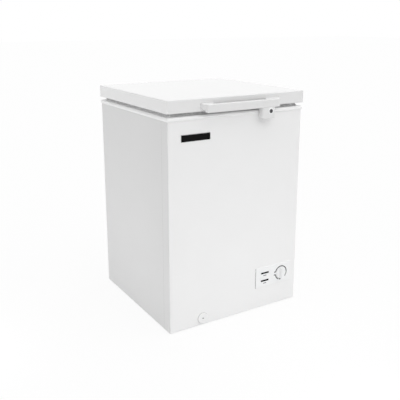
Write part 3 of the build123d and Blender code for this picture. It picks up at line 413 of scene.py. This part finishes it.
@dataclass(frozen=True)
class PaintedSheet(Finish):
    """Roller-painted steel with a fine orange peel and the slow waves of thin sheet."""

    colour: Colour = grey(0.867)
    first_share: float = 0.985
    second_share: float = 1.01
    roughness: float = 0.34
    smoother: float = 0.05
    rougher: float = 0.06
    coat: float = 0.12
    coat_roughness: float = 0.2
    edge_radius: float = 2.0 * MM
    # Beyond side_reach to the left and right the colour is darkened, a painted shade of the side
    # faces
    side_reach: float = 1.0
    side_shade_share: float = 1.0
    clouds: Pattern = Pattern(7.0, detail=2.0)
    sheen: Pattern = Pattern(40.0)
    waves: Bumps = Bumps(Pattern(5.0, detail=1.0), strength=0.25, depth=0.6 * MM)
    peel: Bumps = Bumps(Pattern(700.0, detail=2.0), strength=0.12, depth=0.05 * MM)

    def shade(self, graph: FinishGraph) -> None:
        """Fills the material's node tree.

        Args:
            graph: Node tree with nothing but its shader.
        """
        self.drift_tone(graph, graph.draw(self.clouds))
        # Painted shade on the side faces
        if self.side_shade_share < 1.0:
            graph.paint_side_shade(self.side_reach, self.side_shade_share)
        self.drift_gloss(graph, graph.draw(self.sheen))
        graph.settle(Coat_Weight=self.coat, Coat_Roughness=self.coat_roughness)
        graph.relief(self.waves, self.peel, radius=self.edge_radius)


@dataclass(frozen=True)
class MouldedPlastic(Finish):
    """Injection-moulded plastic with a spark-eroded grain."""

    first_share: float = 0.98
    second_share: float = 1.015
    roughness: float = 0.46
    smoother: float = 0.05
    rougher: float = 0.07
    reflection: float = 0.5
    coat: float = 0.0
    coat_roughness: float = 0.12
    edge_radius: float = 0.0
    clouds: Pattern = Pattern(18.0, detail=2.0)
    sheen: Pattern = Pattern(60.0)
    grain: float = 1600.0
    grain_strength: float = 0.16
    grain_depth: float = 0.06 * MM
    ripple: Bumps = Bumps(Pattern(26.0, detail=1.0), strength=0.08, depth=0.3 * MM)

    def shade(self, graph: FinishGraph) -> None:
        """Fills the material's node tree.

        Args:
            graph: Node tree with nothing but its shader.
        """
        self.drift_tone(graph, graph.draw(self.clouds))
        self.drift_gloss(graph, graph.draw(self.sheen))
        graph.settle(Coat_Weight=self.coat, Coat_Roughness=self.coat_roughness)
        graph.settle(Specular_IOR_Level=self.reflection)
        pits = Pattern(self.grain, texture=Texture.CELLS)
        grain = Bumps(pits, self.grain_strength, self.grain_depth)
        graph.relief(grain, self.ripple, radius=self.edge_radius)


@dataclass(frozen=True)
class Galvanised(Finish):
    """Zinc-dipped steel whose spangle turns the light from grain to grain."""

    colour: Colour = (0.56, 0.58, 0.6)
    first_share: float = 0.82
    second_share: float = 1.12
    roughness: float = 0.4
    spangle: float = 130.0
    border_strength: float = 0.12
    border_depth: float = 0.1 * MM
    frost: Bumps = Bumps(Pattern(900.0), strength=0.08, depth=0.04 * MM)

    def shade(self, graph: FinishGraph) -> None:
        """Fills the material's node tree.

        Args:
            graph: Node tree with nothing but its shader.
        """
        grains = graph.draw(Pattern(self.spangle, texture=Texture.GRAINS))
        self.drift_tone(graph, grains)
        self.drift_gloss(graph, grains)
        graph.settle(Metallic=1.0)
        edges = Pattern(self.spangle, texture=Texture.GRAIN_EDGES)
        graph.relief(Bumps(edges, self.border_strength, self.border_depth), self.frost)


@dataclass(frozen=True)
class EmbossedLiner(Finish):
    """Thin aluminium liner, rolled with a stucco pattern that hides scratches."""

    colour: Colour = (0.86, 0.868, 0.876)
    first_share: float = 0.94
    second_share: float = 1.04
    roughness: float = 0.43
    smoother: float = 0.07
    rougher: float = 0.07
    metal: float = 0.4
    clouds: Pattern = Pattern(9.0)
    sheen: Pattern = Pattern(120.0)
    stucco: Bumps = Bumps(Pattern(190.0, detail=1.5), strength=0.5, depth=0.7 * MM)
    specks: Bumps = Bumps(Pattern(1200.0, texture=Texture.CELLS), strength=0.06, depth=0.03 * MM)

    def shade(self, graph: FinishGraph) -> None:
        """Fills the material's node tree.

        Args:
            graph: Node tree with nothing but its shader.
        """
        self.drift_tone(graph, graph.draw(self.clouds))
        self.drift_gloss(graph, graph.draw(self.sheen))
        graph.settle(Metallic=self.metal)
        graph.relief(self.stucco, self.specks)


@dataclass(frozen=True)
class WornMetal(Finish):
    """Plated or drawn metal with fine lines along one axis and duller patches."""

    second: Colour = field(kw_only=True)
    roughness: float = 0.3
    smoother: float = 0.08
    rougher: float = 0.16
    patches: Pattern = Pattern(60.0, detail=4.0)
    patch_start: float = 0.35
    patch_end: float = 0.7
    scratches: Pattern = Pattern(900.0, detail=2.0)
    scratch_strength: float = 0.12
    scratch_depth: float = 0.03 * MM

    def shade(self, graph: FinishGraph) -> None:
        """Fills the material's node tree.

        Args:
            graph: Node tree with nothing but its shader.
        """
        patch = graph.draw(self.patches)
        worn = graph.spread(patch, 0.0, 1.0, self.patch_start, self.patch_end)
        graph.tint(worn, self.colour, self.second)
        self.drift_gloss(graph, patch)
        graph.settle(Metallic=1.0)
        graph.relief(Bumps(self.scratches, self.scratch_strength, self.scratch_depth))


@dataclass(frozen=True)
class SoftRubber(Finish):
    """Matt rubber or soft vinyl with a bloom of dust."""

    second_share: float = 1.35
    roughness: float = 0.72
    reflection: float = 0.35
    bloom: Pattern = Pattern(90.0, detail=4.0)
    bloom_start: float = 0.4
    bloom_end: float = 0.8
    grain: Bumps = Bumps(Pattern(1500.0, detail=2.0), strength=0.2, depth=0.05 * MM)

    def shade(self, graph: FinishGraph) -> None:
        """Fills the material's node tree.

        Args:
            graph: Node tree with nothing but its shader.
        """
        bloom = graph.draw(self.bloom)
        dust = graph.spread(bloom, 0.0, 1.0, self.bloom_start, self.bloom_end)
        self.drift_tone(graph, dust)
        self.drift_gloss(graph, bloom)
        graph.settle(Specular_IOR_Level=self.reflection)
        graph.relief(self.grain)


@dataclass(frozen=True)
class RigidFoam(Finish):
    """Poured polyurethane: cream, open-pored and a little darker where it aged."""

    colour: Colour = (0.78, 0.66, 0.4)
    second_share: float = 0.8
    roughness: float = 0.9
    reflection: float = 0.2
    ageing: Pattern = Pattern(14.0, detail=4.0)
    pores: Bumps = Bumps(Pattern(700.0, texture=Texture.CELLS), strength=0.6, depth=0.4 * MM)
    lumps: Bumps = Bumps(Pattern(40.0), strength=0.4, depth=1.0 * MM)

    def shade(self, graph: FinishGraph) -> None:
        """Fills the material's node tree.

        Args:
            graph: Node tree with nothing but its shader.
        """
        self.drift_tone(graph, graph.draw(self.ageing))
        graph.settle(Roughness=self.roughness, Specular_IOR_Level=self.reflection)
        graph.relief(self.pores, self.lumps)


@dataclass(frozen=True)
class CastIron(Finish):
    """Rough cast and ground iron with an oil film."""

    colour: Colour = (0.16, 0.155, 0.15)
    second_share: float = 1.5
    smoother: float = 0.15
    rougher: float = 0.2
    metal: float = 0.9
    stains: Pattern = Pattern(50.0, detail=5.0)
    oil: Pattern = Pattern(140.0)
    skin: Bumps = Bumps(Pattern(500.0, detail=4.0), strength=0.5, depth=0.2 * MM)

    def shade(self, graph: FinishGraph) -> None:
        """Fills the material's node tree.

        Args:
            graph: Node tree with nothing but its shader.
        """
        self.drift_tone(graph, graph.draw(self.stains))
        self.drift_gloss(graph, graph.draw(self.oil))
        graph.settle(Metallic=self.metal)
        graph.relief(self.skin)


@dataclass(frozen=True)
class PrintedInk(Finish):
    """Pad-printed ink, a little uneven in cover."""

    second_share: float = 1.12
    smoother: float = 0.08
    cover: Pattern = Pattern(800.0)
    sheen: Pattern = Pattern(300.0)
    screen: Bumps = Bumps(Pattern(2500.0), strength=0.1, depth=0.02 * MM)

    def shade(self, graph: FinishGraph) -> None:
        """Fills the material's node tree.

        Args:
            graph: Node tree with nothing but its shader.
        """
        self.drift_tone(graph, graph.draw(self.cover))
        self.drift_gloss(graph, graph.draw(self.sheen))
        graph.relief(self.screen)


FINISHES: dict[Slot, Finish] = {
    Slot.SHEET: PaintedSheet(),
    Slot.GALVANISED: Galvanised(),
    Slot.LINER: EmbossedLiner(),
    Slot.PLASTIC: MouldedPlastic(colour=grey(0.93)),
    Slot.GLOSS: MouldedPlastic(
        colour=(0.88, 0.885, 0.89), roughness=0.3, grain_strength=0.0, coat=0.2
    ),
    Slot.GASKET: SoftRubber(colour=grey(0.56)),
    Slot.FOAM: RigidFoam(),
    Slot.COPPER: WornMetal(
        colour=(0.78, 0.38, 0.22),
        second=(0.42, 0.2, 0.12),
        scratches=Pattern(900.0, detail=2.0, stretch=(1.0, 1.0, 0.1)),
    ),
    Slot.COMPRESSOR: MouldedPlastic(
        colour=(0.012, 0.012, 0.013), roughness=0.3, grain=300.0, coat=0.5
    ),
    Slot.IRON: CastIron(),
    Slot.BLACK_RUBBER: SoftRubber(colour=(0.02, 0.02, 0.021)),
    Slot.BLACK_PLASTIC: MouldedPlastic(colour=(0.018, 0.018, 0.02), roughness=0.42),
    Slot.BADGE: MouldedPlastic(
        colour=grey(0.003), roughness=0.3, grain_strength=0.02, reflection=0.08
    ),
    Slot.LENS: MouldedPlastic(
        colour=grey(0.003), roughness=0.2, grain_strength=0.0, reflection=0.06
    ),
    Slot.ZINC: WornMetal(colour=(0.62, 0.63, 0.64), second=(0.42, 0.44, 0.47), roughness=0.34),
    Slot.LOCK: WornMetal(
        colour=(0.72, 0.73, 0.74),
        second=(0.6, 0.61, 0.63),
        roughness=0.2,
        scratches=Pattern(900.0, detail=2.0, stretch=(1.0, 0.05, 1.0)),
    ),
    Slot.SPRING: WornMetal(colour=(0.4, 0.41, 0.43), second=(0.26, 0.27, 0.29), roughness=0.28),
    Slot.BASKET: MouldedPlastic(colour=(0.84, 0.85, 0.86), roughness=0.3, grain=400.0, coat=0.35),
    Slot.GREY_PLASTIC: MouldedPlastic(colour=(0.42, 0.43, 0.44), roughness=0.44),
}
# The side sheets are painted darker than the front, a painted shade of the side faces. The front
# sheet wraps both corners, and its returns get the same painted shade.
PAINTED_SIDE_SHADE = 0.795
CORNER_DEPTH = 1.5 * MM
FRONT_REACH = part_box("front_panel")[1].x - CORNER_DEPTH
SIDE_SHEET_WITH_PAINTED_SHADE = PaintedSheet(colour=shaded(PaintedSheet.colour, PAINTED_SIDE_SHADE))
SOLID_FINISHES: dict[str, Finish] = {
    "front_panel": PaintedSheet(side_reach=FRONT_REACH, side_shade_share=PAINTED_SIDE_SHADE),
    "left_side_panel": SIDE_SHEET_WITH_PAINTED_SHADE,
    "right_side_panel": SIDE_SHEET_WITH_PAINTED_SHADE,
    "lid_skin": PaintedSheet(colour=grey(0.785), coat=0.9),
    "handle": MouldedPlastic(colour=grey(0.765), coat=0.9, edge_radius=2.5 * MM),
    "top_trim": MouldedPlastic(colour=grey(0.9), edge_radius=1.5 * MM),
    "drain_cap": MouldedPlastic(colour=grey(0.855)),
    # The lock core is painted near-black, a painted shade of its keyhole
    "lock_core": WornMetal(colour=(0.11, 0.11, 0.115), second=(0.07, 0.07, 0.075), roughness=0.36),
    "lock_barrel": WornMetal(colour=(0.86, 0.865, 0.87), second=(0.78, 0.785, 0.79)),
}
SCALE_INK = PrintedInk(colour=(0.03, 0.03, 0.032))
MARK_INK = PrintedInk(colour=(0.22, 0.22, 0.225))
BORDER_PAINT = PrintedInk(colour=(0.62, 0.62, 0.63))
# Grey for the seam sealant, whose tone is partly painted shade of the seam, and for the ring of
# painted shade round the drain cap
SEALANT_AND_PAINTED_SHADE = SoftRubber(colour=grey(0.42))
# Near-black for painted shade: the strips by the control panel and the slot in the drain cap
PAINTED_SHADE_DARK = SoftRubber(colour=grey(0.06))


class Dresser:
    """Gives each solid of the freezer its own finish, or else that of its slot."""

    def __init__(self) -> None:
        """Builds one material for each slot and for each solid with its own finish."""
        self.shared = {slot.value: FINISHES[slot].build(f"finish_{slot.value}") for slot in Slot}
        self.own = {name: look.build(f"finish_{name}") for name, look in SOLID_FINISHES.items()}

    def dress(self, nodes: dict[str, bpy.types.Object]) -> None:
        """Assigns the finishes.

        Args:
            nodes: Solids of the frame by name.
        """
        for name, solid in nodes.items():
            for material_slot in solid.material_slots:
                plain = material_slot.material.name.split(".")[0]
                material_slot.material = self.own.get(name, self.shared[plain])
            LOG.info("%s has its finish", name)


# ---- Modelling ----
def deselect_all() -> None:
    """Leaves nothing selected, so that an operator acts on the new piece alone."""
    for selected in bpy.context.selected_objects:
        selected.select_set(False)


def in_edit_mode(action: Callable[[], object]) -> None:
    """Runs an action on the active mesh in edit mode.

    Args:
        action: Call that edits the selection.
    """
    bpy.ops.object.mode_set(mode="EDIT")
    action()
    bpy.ops.object.mode_set(mode="OBJECT")


def keep_faces(piece: bpy.types.Object, wanted: Callable[[Vector], bool]) -> None:
    """Deletes the faces of a mesh that aren't wanted.

    Args:
        piece: Mesh that is active.
        wanted: Test of a face's centre.
    """
    bpy.ops.object.mode_set(mode="EDIT")
    bpy.ops.mesh.select_mode(type="FACE")
    bpy.ops.mesh.select_all(action="DESELECT")
    bpy.ops.object.mode_set(mode="OBJECT")
    for face in piece.data.polygons:
        face.select = not wanted(face.center)
    in_edit_mode(lambda: bpy.ops.mesh.delete(type="FACE"))


def stand_up(piece: bpy.types.Object, name: str, centre: Vector) -> None:
    """Turns a flat piece to the front, moves it to its place and applies both.

    Args:
        piece: Flat mesh about the origin, face up.
        name: Its new name.
        centre: Where its centre goes.
    """
    piece.name = piece.data.name = name
    piece.rotation_euler = FACING_FRONT
    piece.location = centre
    bpy.ops.object.transform_apply(location=True, rotation=True, scale=True)


def soften_edges(piece: bpy.types.Object, edge: float) -> None:
    """Bevels the sharp edges of the active piece and turns its faces outwards.

    Args:
        piece: Solid mesh, active.
        edge: Width of the softened edge.
    """
    soften = piece.modifiers.new("soften", "BEVEL")
    soften.width = edge
    soften.segments = EDGE_SEGMENTS
    soften.limit_method = "ANGLE"
    soften.angle_limit = SHARP_ANGLE
    bpy.ops.object.modifier_apply(modifier=soften.name)
    in_edit_mode(lambda: bpy.ops.mesh.select_all(action="SELECT"))
    in_edit_mode(lambda: bpy.ops.mesh.normals_make_consistent(inside=False))
    bpy.ops.object.shade_smooth_by_angle(angle=SMOOTH_ANGLE)


def thicken(piece: bpy.types.Object, thickness: float, edge_share: float = EDGE_SHARE) -> None:
    """Gives a flat piece its thickness towards its back, and a soft edge.

    Args:
        piece: Flat mesh, active.
        thickness: How far it stands proud of what it lies on.
        edge_share: Width of the softened edge, as a share of the thickness.
    """
    wall = piece.modifiers.new("wall", "SOLIDIFY")
    wall.thickness = thickness
    wall.offset = -1.0
    bpy.ops.object.modifier_apply(modifier=wall.name)
    soften_edges(piece, thickness * edge_share)


def plate(
    name: str, centre: Vector, width: float, height: float, turn: float = 0.0
) -> bpy.types.Object:
    """A flat rectangle that faces the front, with its place applied.

    Args:
        name: Name of the piece.
        centre: Its centre.
        width: Its size along its own X.
        height: Its size along its own Y.
        turn: Turn in its own plane, in radians.

    Returns:
        The new mesh, active and selected.
    """
    deselect_all()
    bpy.ops.mesh.primitive_plane_add(size=1.0)
    piece = bpy.context.active_object
    piece.scale = (width, height, 1.0)
    bpy.ops.object.transform_apply(location=False, rotation=False, scale=True)
    piece.rotation_euler = (0.0, 0.0, turn)
    bpy.ops.object.transform_apply(location=False, rotation=True, scale=False)
    stand_up(piece, name, centre)
    return piece


def disc(radius: float, facets: int) -> bpy.types.Object:
    """A flat round face about the origin, face up.

    Args:
        radius: Its radius.
        facets: Number of its edges.

    Returns:
        The new mesh, active and selected.
    """
    deselect_all()
    bpy.ops.mesh.primitive_circle_add(vertices=facets, radius=radius, fill_type="NGON")
    return bpy.context.active_object


def ring(
    radius: float, width: float, facets: int, start: float = 0.0, end: float = 360.0
) -> bpy.types.Object:
    """A flat ring about the origin, or a stretch of one, face up.

    Args:
        radius: Its outer radius.
        width: Width of the line.
        facets: Number of edges of the whole ring.
        start: Angle where it starts, in degrees.
        end: Larger angle where it ends.

    Returns:
        The new mesh, active.
    """
    piece = disc(radius, facets)
    in_edit_mode(lambda: bpy.ops.mesh.inset(thickness=width))

    def on_stretch(middle: Vector) -> bool:
        """Whether a face's centre lies on the ring, between the two angles."""
        around = math.degrees(math.atan2(middle.y, middle.x))
        return middle.length > radius - width and (around - start) % 360.0 <= end - start

    keep_faces(piece, on_stretch)
    return piece


def finish_piece(
    piece: bpy.types.Object, body: str, material: bpy.types.Material
) -> None:
    """Paints a new piece, lets it ride on its body and reports it.

    Args:
        piece: Finished mesh.
        body: Body that it moves with.
        material: Its material.
    """
    piece.data.materials.clear()
    piece.data.materials.append(material)
    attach(piece, body)
    LOG.info("%s rides on %s", piece.name, body)


@dataclass
class ThermostatScale:
    """Printed scale round the thermostat knob: two arcs, two ticks, a dot and a dash."""

    outer_radius: float = 29.3 * MM
    width: float = 4.0 * MM
    ink: float = 0.15 * MM
    facets: int = 96
    tick_length: float = 7.5 * MM
    upper_tick: float = 166.0
    lower_tick: float = 188.0
    arc_end: float = -38.0
    lower_arc_end: float = 242.0
    dash_start: float = 252.0
    dash_end: float = 270.0
    dash_width: float = 4.2 * MM
    dot_radius: float = 2.5 * MM
    dot_facets: int = 24
    centre: Vector = field(init=False)

    def __post_init__(self) -> None:
        """Finds the face of the panel on the knob's axis."""
        knob_low, knob_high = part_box("thermostat_knob")
        panel_low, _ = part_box("control_panel")
        middle = (knob_low + knob_high) / 2
        self.centre = Vector((middle.x, panel_low.y - self.ink, middle.z))

    def point(self, degrees: float, radius: float) -> Vector:
        """A point on the panel, by its angle from the right and its radius.

        Args:
            degrees: Angle, anticlockwise as seen from the front.
            radius: Distance from the knob's axis.

        Returns:
            The point.
        """
        turn = math.radians(degrees)
        return self.centre + Vector((math.cos(turn), 0.0, math.sin(turn))) * radius

    def arc(self, name: str, start: float, end: float, width: float) -> bpy.types.Object:
        """A stretch of the printed ring.

        Args:
            name: Name of the piece.
            start: Angle where it starts, in degrees.
            end: Larger angle where it ends.
            width: Width of the line.

        Returns:
            The new mesh.
        """
        piece = ring(self.outer_radius, width, self.facets, start, end)
        stand_up(piece, name, self.centre)
        thicken(piece, self.ink)
        return piece

    def tick(self, name: str, degrees: float) -> bpy.types.Object:
        """A short line outwards from the ring.

        Args:
            name: Name of the piece.
            degrees: Its angle.

        Returns:
            The new mesh.
        """
        middle = self.point(degrees, self.outer_radius + self.tick_length / 2 - self.width / 2)
        piece = plate(name, middle, self.tick_length, self.width, math.radians(degrees))
        thicken(piece, self.ink)
        return piece

    def dot(self, name: str, degrees: float) -> bpy.types.Object:
        """A round dot on the ring.

        Args:
            name: Name of the piece.
            degrees: Its angle.

        Returns:
            The new mesh.
        """
        piece = disc(self.dot_radius, self.dot_facets)
        stand_up(piece, name, self.point(degrees, self.outer_radius - self.width / 2))
        thicken(piece, self.ink)
        return piece

    def build(self) -> None:
        """Makes the whole scale."""
        ink = SCALE_INK.build("scale_ink")
        marks = [
            self.arc("scale_long_arc", self.arc_end, self.upper_tick, self.width),
            self.arc("scale_short_arc", self.lower_tick, self.lower_arc_end, self.width),
            self.arc("scale_dash", self.dash_start, self.dash_end, self.dash_width),
            self.tick("scale_upper_tick", self.upper_tick),
            self.tick("scale_lower_tick", self.lower_tick),
            self.dot("scale_dot", self.arc_end),
        ]
        for mark in marks:
            finish_piece(mark, "cabinet", ink)


@dataclass
class LampMarks:
    """Small printed marks, one under each indicator window."""

    count: int = 2
    width: float = 15.0 * MM
    height: float = 3.4 * MM
    drop: float = 7.0 * MM
    pitch: float = 32.0 * MM
    ink: float = 0.15 * MM

    def build(self) -> None:
        """Makes the marks, the lowest first."""
        material = MARK_INK.build("mark_ink")
        low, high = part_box("indicator_lenses")
        panel_low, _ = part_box("control_panel")
        for index in range(self.count):
            height = low.z + index * self.pitch - self.drop
            centre = Vector(((low.x + high.x) / 2, panel_low.y - self.ink, height))
            mark = plate(f"lamp_mark_{index}", centre, self.width, self.height)
            thicken(mark, self.ink)
            finish_piece(mark, "cabinet", material)


@dataclass
class SeamSealantAndShade:
    """Bead of sealant in the upright seam of each side of the cabinet, darker than the sheet, its
    tone partly a painted shade of the seam's groove.
    """

    width: float = 1.1 * MM
    depth: float = 0.45 * MM
    sunk: float = 0.1 * MM
    edge: float = 0.1 * MM

    def build(self) -> None:
        """Makes a bead for each side."""
        material = SEALANT_AND_PAINTED_SHADE.build("seam_sealant_and_shade")
        trim_low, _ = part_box("top_trim")
        for side, outwards in (("left_side_panel", -1.0), ("right_side_panel", 1.0)):
            low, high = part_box(side)
            face = low.x if outwards < 0 else high.x
            deselect_all()
            bpy.ops.mesh.primitive_cube_add(size=1.0)
            bead = bpy.context.active_object
            bead.name = bead.data.name = f"{side}_sealant_and_shade"
            bead.scale = (self.depth, self.width, trim_low.z - low.z)
            middle = face - outwards * (self.sunk + self.depth / 2)
            bead.location = (middle, low.y, (low.z + trim_low.z) / 2)
            bpy.ops.object.transform_apply(location=True, rotation=True, scale=True)
            soften_edges(bead, self.edge)
            finish_piece(bead, "cabinet", material)


@dataclass
class PanelShadeStrips:
    """Dark strips along the left and lower edges of the control panel, a painted shade of its side
    wall and of the gap under its edge.
    """

    side_width: float = 1.0 * MM
    foot_width: float = 0.6 * MM
    proud: float = 0.5 * MM
    edge_share: float = 0.4

    def build(self) -> None:
        """Makes both strips of painted shade."""
        material = PAINTED_SHADE_DARK.build("panel_seal")
        low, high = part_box("control_panel")
        sheet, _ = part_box("front_panel")
        strips = {
            "panel_shade_side": ((low.x - self.side_width, low.z), (low.x, high.z)),
            "panel_shade_foot": ((low.x, low.z - self.foot_width), (high.x, low.z)),
        }
        for name, ((left, foot), (right, top)) in strips.items():
            centre = Vector(((left + right) / 2, sheet.y - self.proud, (foot + top) / 2))
            strip = plate(name, centre, right - left, top - foot)
            thicken(strip, self.proud, self.edge_share)
            finish_piece(strip, "cabinet", material)


@dataclass
class DrainShadeMarks:
    """Grey ring round the drain cap, a painted shade of the gap round the cap, and a dark plate in
    the middle of the cap, a painted shade of its slot.
    """

    width: float = 0.9 * MM
    clearance: float = 0.05 * MM
    proud: float = 0.4 * MM
    edge_share: float = 0.25
    facets: int = 64
    slot_width: float = 7.0 * MM
    slot_height: float = 3.0 * MM
    slot_depth: float = 0.2 * MM
    recess: float = 1.5 * MM

    def build(self) -> None:
        """Makes the ring of painted shade on the sheet and the painted shade of the slot on the
        cap.
        """
        low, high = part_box("drain_cap")
        sheet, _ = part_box("front_panel")
        middle = (low + high) / 2
        radius = (high.x - low.x) / 2 + self.width
        ring_shade = ring(radius, self.width - self.clearance, self.facets)
        stand_up(ring_shade, "drain_ring_shade", Vector((middle.x, sheet.y - self.proud, middle.z)))
        thicken(ring_shade, self.proud, self.edge_share)
        finish_piece(ring_shade, "cabinet", SEALANT_AND_PAINTED_SHADE.build("drain_ring_shade"))
        centre = Vector((middle.x, low.y + self.recess - self.slot_depth, middle.z))
        slot = plate("drain_cap_slot_shade", centre, self.slot_width, self.slot_height)
        thicken(slot, self.slot_depth)
        finish_piece(slot, "drain_cap", PAINTED_SHADE_DARK.build("drain_cap_slot_shade"))


@dataclass
class BadgeBorder:
    """Thin pale line round the face of the bare badge plate."""

    inset: float = 0.3 * MM
    line: float = 0.5 * MM
    proud: float = 0.2 * MM

    def build(self) -> None:
        """Makes the border."""
        low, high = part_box("badge_plate")
        middle = (low + high) / 2
        centre = Vector((middle.x, low.y - self.proud, middle.z))
        width = high.x - low.x - 2 * self.inset
        height = high.z - low.z - 2 * self.inset
        border = plate("badge_border", centre, width, height)
        in_edit_mode(self.open_middle)
        thicken(border, self.proud)
        finish_piece(border, "cabinet", BORDER_PAINT.build("border_paint"))

    def open_middle(self) -> None:
        """Insets the selected plate and deletes its middle."""
        bpy.ops.mesh.select_all(action="SELECT")
        bpy.ops.mesh.inset(thickness=self.line)
        bpy.ops.mesh.delete(type="FACE")


# ---- Studio ----
def hang_lamp(
    kind: LampKind, name: str, middle: Vector, towards: Triple, distance: float
) -> bpy.types.Object:
    """Adds a lamp that faces a point.

    Args:
        kind: Kind of lamp.
        name: Its name.
        middle: Point that it faces.
        towards: Direction from that point to the lamp.
        distance: How far away it is.

    Returns:
        The new lamp.
    """
    deselect_all()
    direction = Vector(towards).normalized()
    turn = direction.to_track_quat("Z", "Y").to_euler()
    place = middle + direction * distance
    bpy.ops.object.light_add(type=kind.value, location=place, rotation=turn)
    lamp = bpy.context.active_object
    lamp.name = name
    return lamp


@dataclass(frozen=True)
class BroadLight:
    """Broad soft light from one direction, as wide as its softness in degrees."""

    name: str
    towards: Triple
    strength: float
    softness: float
    distance: float = 4.0

    def build(self) -> None:
        """Adds the lamp."""
        lamp = hang_lamp(LampKind.BROAD, self.name, Vector(), self.towards, self.distance)
        lamp.data.energy = self.strength
        lamp.data.angle = math.radians(self.softness)
        LOG.info("%s is on", self.name)


@dataclass(frozen=True)
class LowPanel:
    """Soft panel near the floor, which lights the foot of one side more than its top."""

    name: str
    towards: Triple
    power: float
    height: float = 0.12
    distance: float = 0.8
    size: float = 0.3

    def build(self) -> None:
        """Adds the lamp."""
        low, high = SOLID_BOX
        middle = Vector(((low.x + high.x) / 2, (low.y + high.y) / 2, self.height))
        distance = self.distance + (high.y - low.y) / 2
        lamp = hang_lamp(LampKind.PANEL, self.name, middle, self.towards, distance)
        lamp.data.energy = self.power
        lamp.data.size = self.size
        lamp.visible_camera = False
        lamp.visible_glossy = False
        LOG.info("%s is on", self.name)


@dataclass
class Studio:
    """White floor and surround under plain soft light."""

    floor_size: float = 60.0
    floor_colour: Colour = grey(0.86)
    floor_roughness: float = 0.9
    floor_glow: float = 0.9
    surround: float = 0.385
    lamps: tuple[BroadLight | LowPanel, ...] = (
        BroadLight("key_light", (0.22, -0.17, 0.6), strength=2.13, softness=100.0),
        BroadLight("side_light", (-1.0, 0.0, 0.0), strength=0.85, softness=70.0),
        LowPanel("low_left_light", (-1.0, 0.0, 0.0), power=1.1),
        LowPanel("low_front_light", (0.0, -1.0, 0.0), power=0.55),
    )

    def floor(self) -> None:
        """Pale floor that the camera sees as white, with the freezer's soft shadow on it."""
        deselect_all()
        bpy.ops.mesh.primitive_plane_add(size=self.floor_size)
        piece = bpy.context.active_object
        piece.name = "floor"
        graph = FinishGraph("floor_paper")
        graph.settle(Base_Color=self.floor_colour, Roughness=self.floor_roughness)
        graph.settle(Specular_IOR_Level=0.0)
        glow = graph.add("ShaderNodeEmission")
        mix = graph.add("ShaderNodeMixShader")
        graph.wire(graph.spread(graph.seen(), 0.0, self.floor_glow), mix.inputs["Fac"])
        graph.wire(graph.shader.outputs["BSDF"], mix.inputs[1])
        graph.wire(glow.outputs["Emission"], mix.inputs[2])
        surface = graph.tree.nodes["Material Output"].inputs["Surface"]
        graph.wire(mix.outputs["Shader"], surface)
        piece.data.materials.append(graph.material)

    def sky(self) -> None:
        """White surround that also gives the ambient light."""
        world = bpy.data.worlds.new("surround")
        bpy.context.scene.world = world
        world.use_nodes = True
        graph = Graph(world.node_tree)
        background = graph.tree.nodes["Background"]
        background.inputs["Color"].default_value = (*grey(1.0), 1.0)
        strength = graph.spread(graph.seen(), self.surround, 1.0)
        graph.wire(strength, background.inputs["Strength"])

    def build(self) -> None:
        """Sets up the floor, the surround and the lamps."""
        self.floor()
        self.sky()
        for lamp in self.lamps:
            lamp.build()


@dataclass
class Camera:
    """Camera ahead of the left front corner, with a small rise of the lens."""

    place: Triple = (-1.2081, -1.9879, 1.1066)
    turn: float = -31.51
    tilt: float = 14.191
    lens: float = 53.423
    sensor: float = 36.0
    rise: float = -0.075
    sight: float = 100.0

    def build(self) -> None:
        """Creates the camera and makes it the scene's own."""
        deselect_all()
        rotation = (math.radians(90.0 - self.tilt), 0.0, math.radians(self.turn))
        bpy.ops.object.camera_add(location=self.place, rotation=rotation)
        camera = bpy.context.active_object
        camera.name = "main_camera"
        camera.data.lens = self.lens
        camera.data.sensor_width = self.sensor
        camera.data.shift_y = self.rise
        camera.data.clip_end = self.sight
        bpy.context.scene.camera = camera
        LOG.info("%s is in place", camera.name)


def main() -> None:
    """Dresses the freezer and sets up its studio."""
    logging.basicConfig(level=logging.INFO, format="%(name)s: %(message)s")
    bpy.context.scene.view_settings.view_transform = "Standard"
    Camera().build()
    Studio().build()
    Dresser().dress(frame["nodes"])
    ThermostatScale().build()
    LampMarks().build()
    SeamSealantAndShade().build()
    PanelShadeStrips().build()
    DrainShadeMarks().build()
    BadgeBorder().build()


if __name__ == "__main__":
    main()
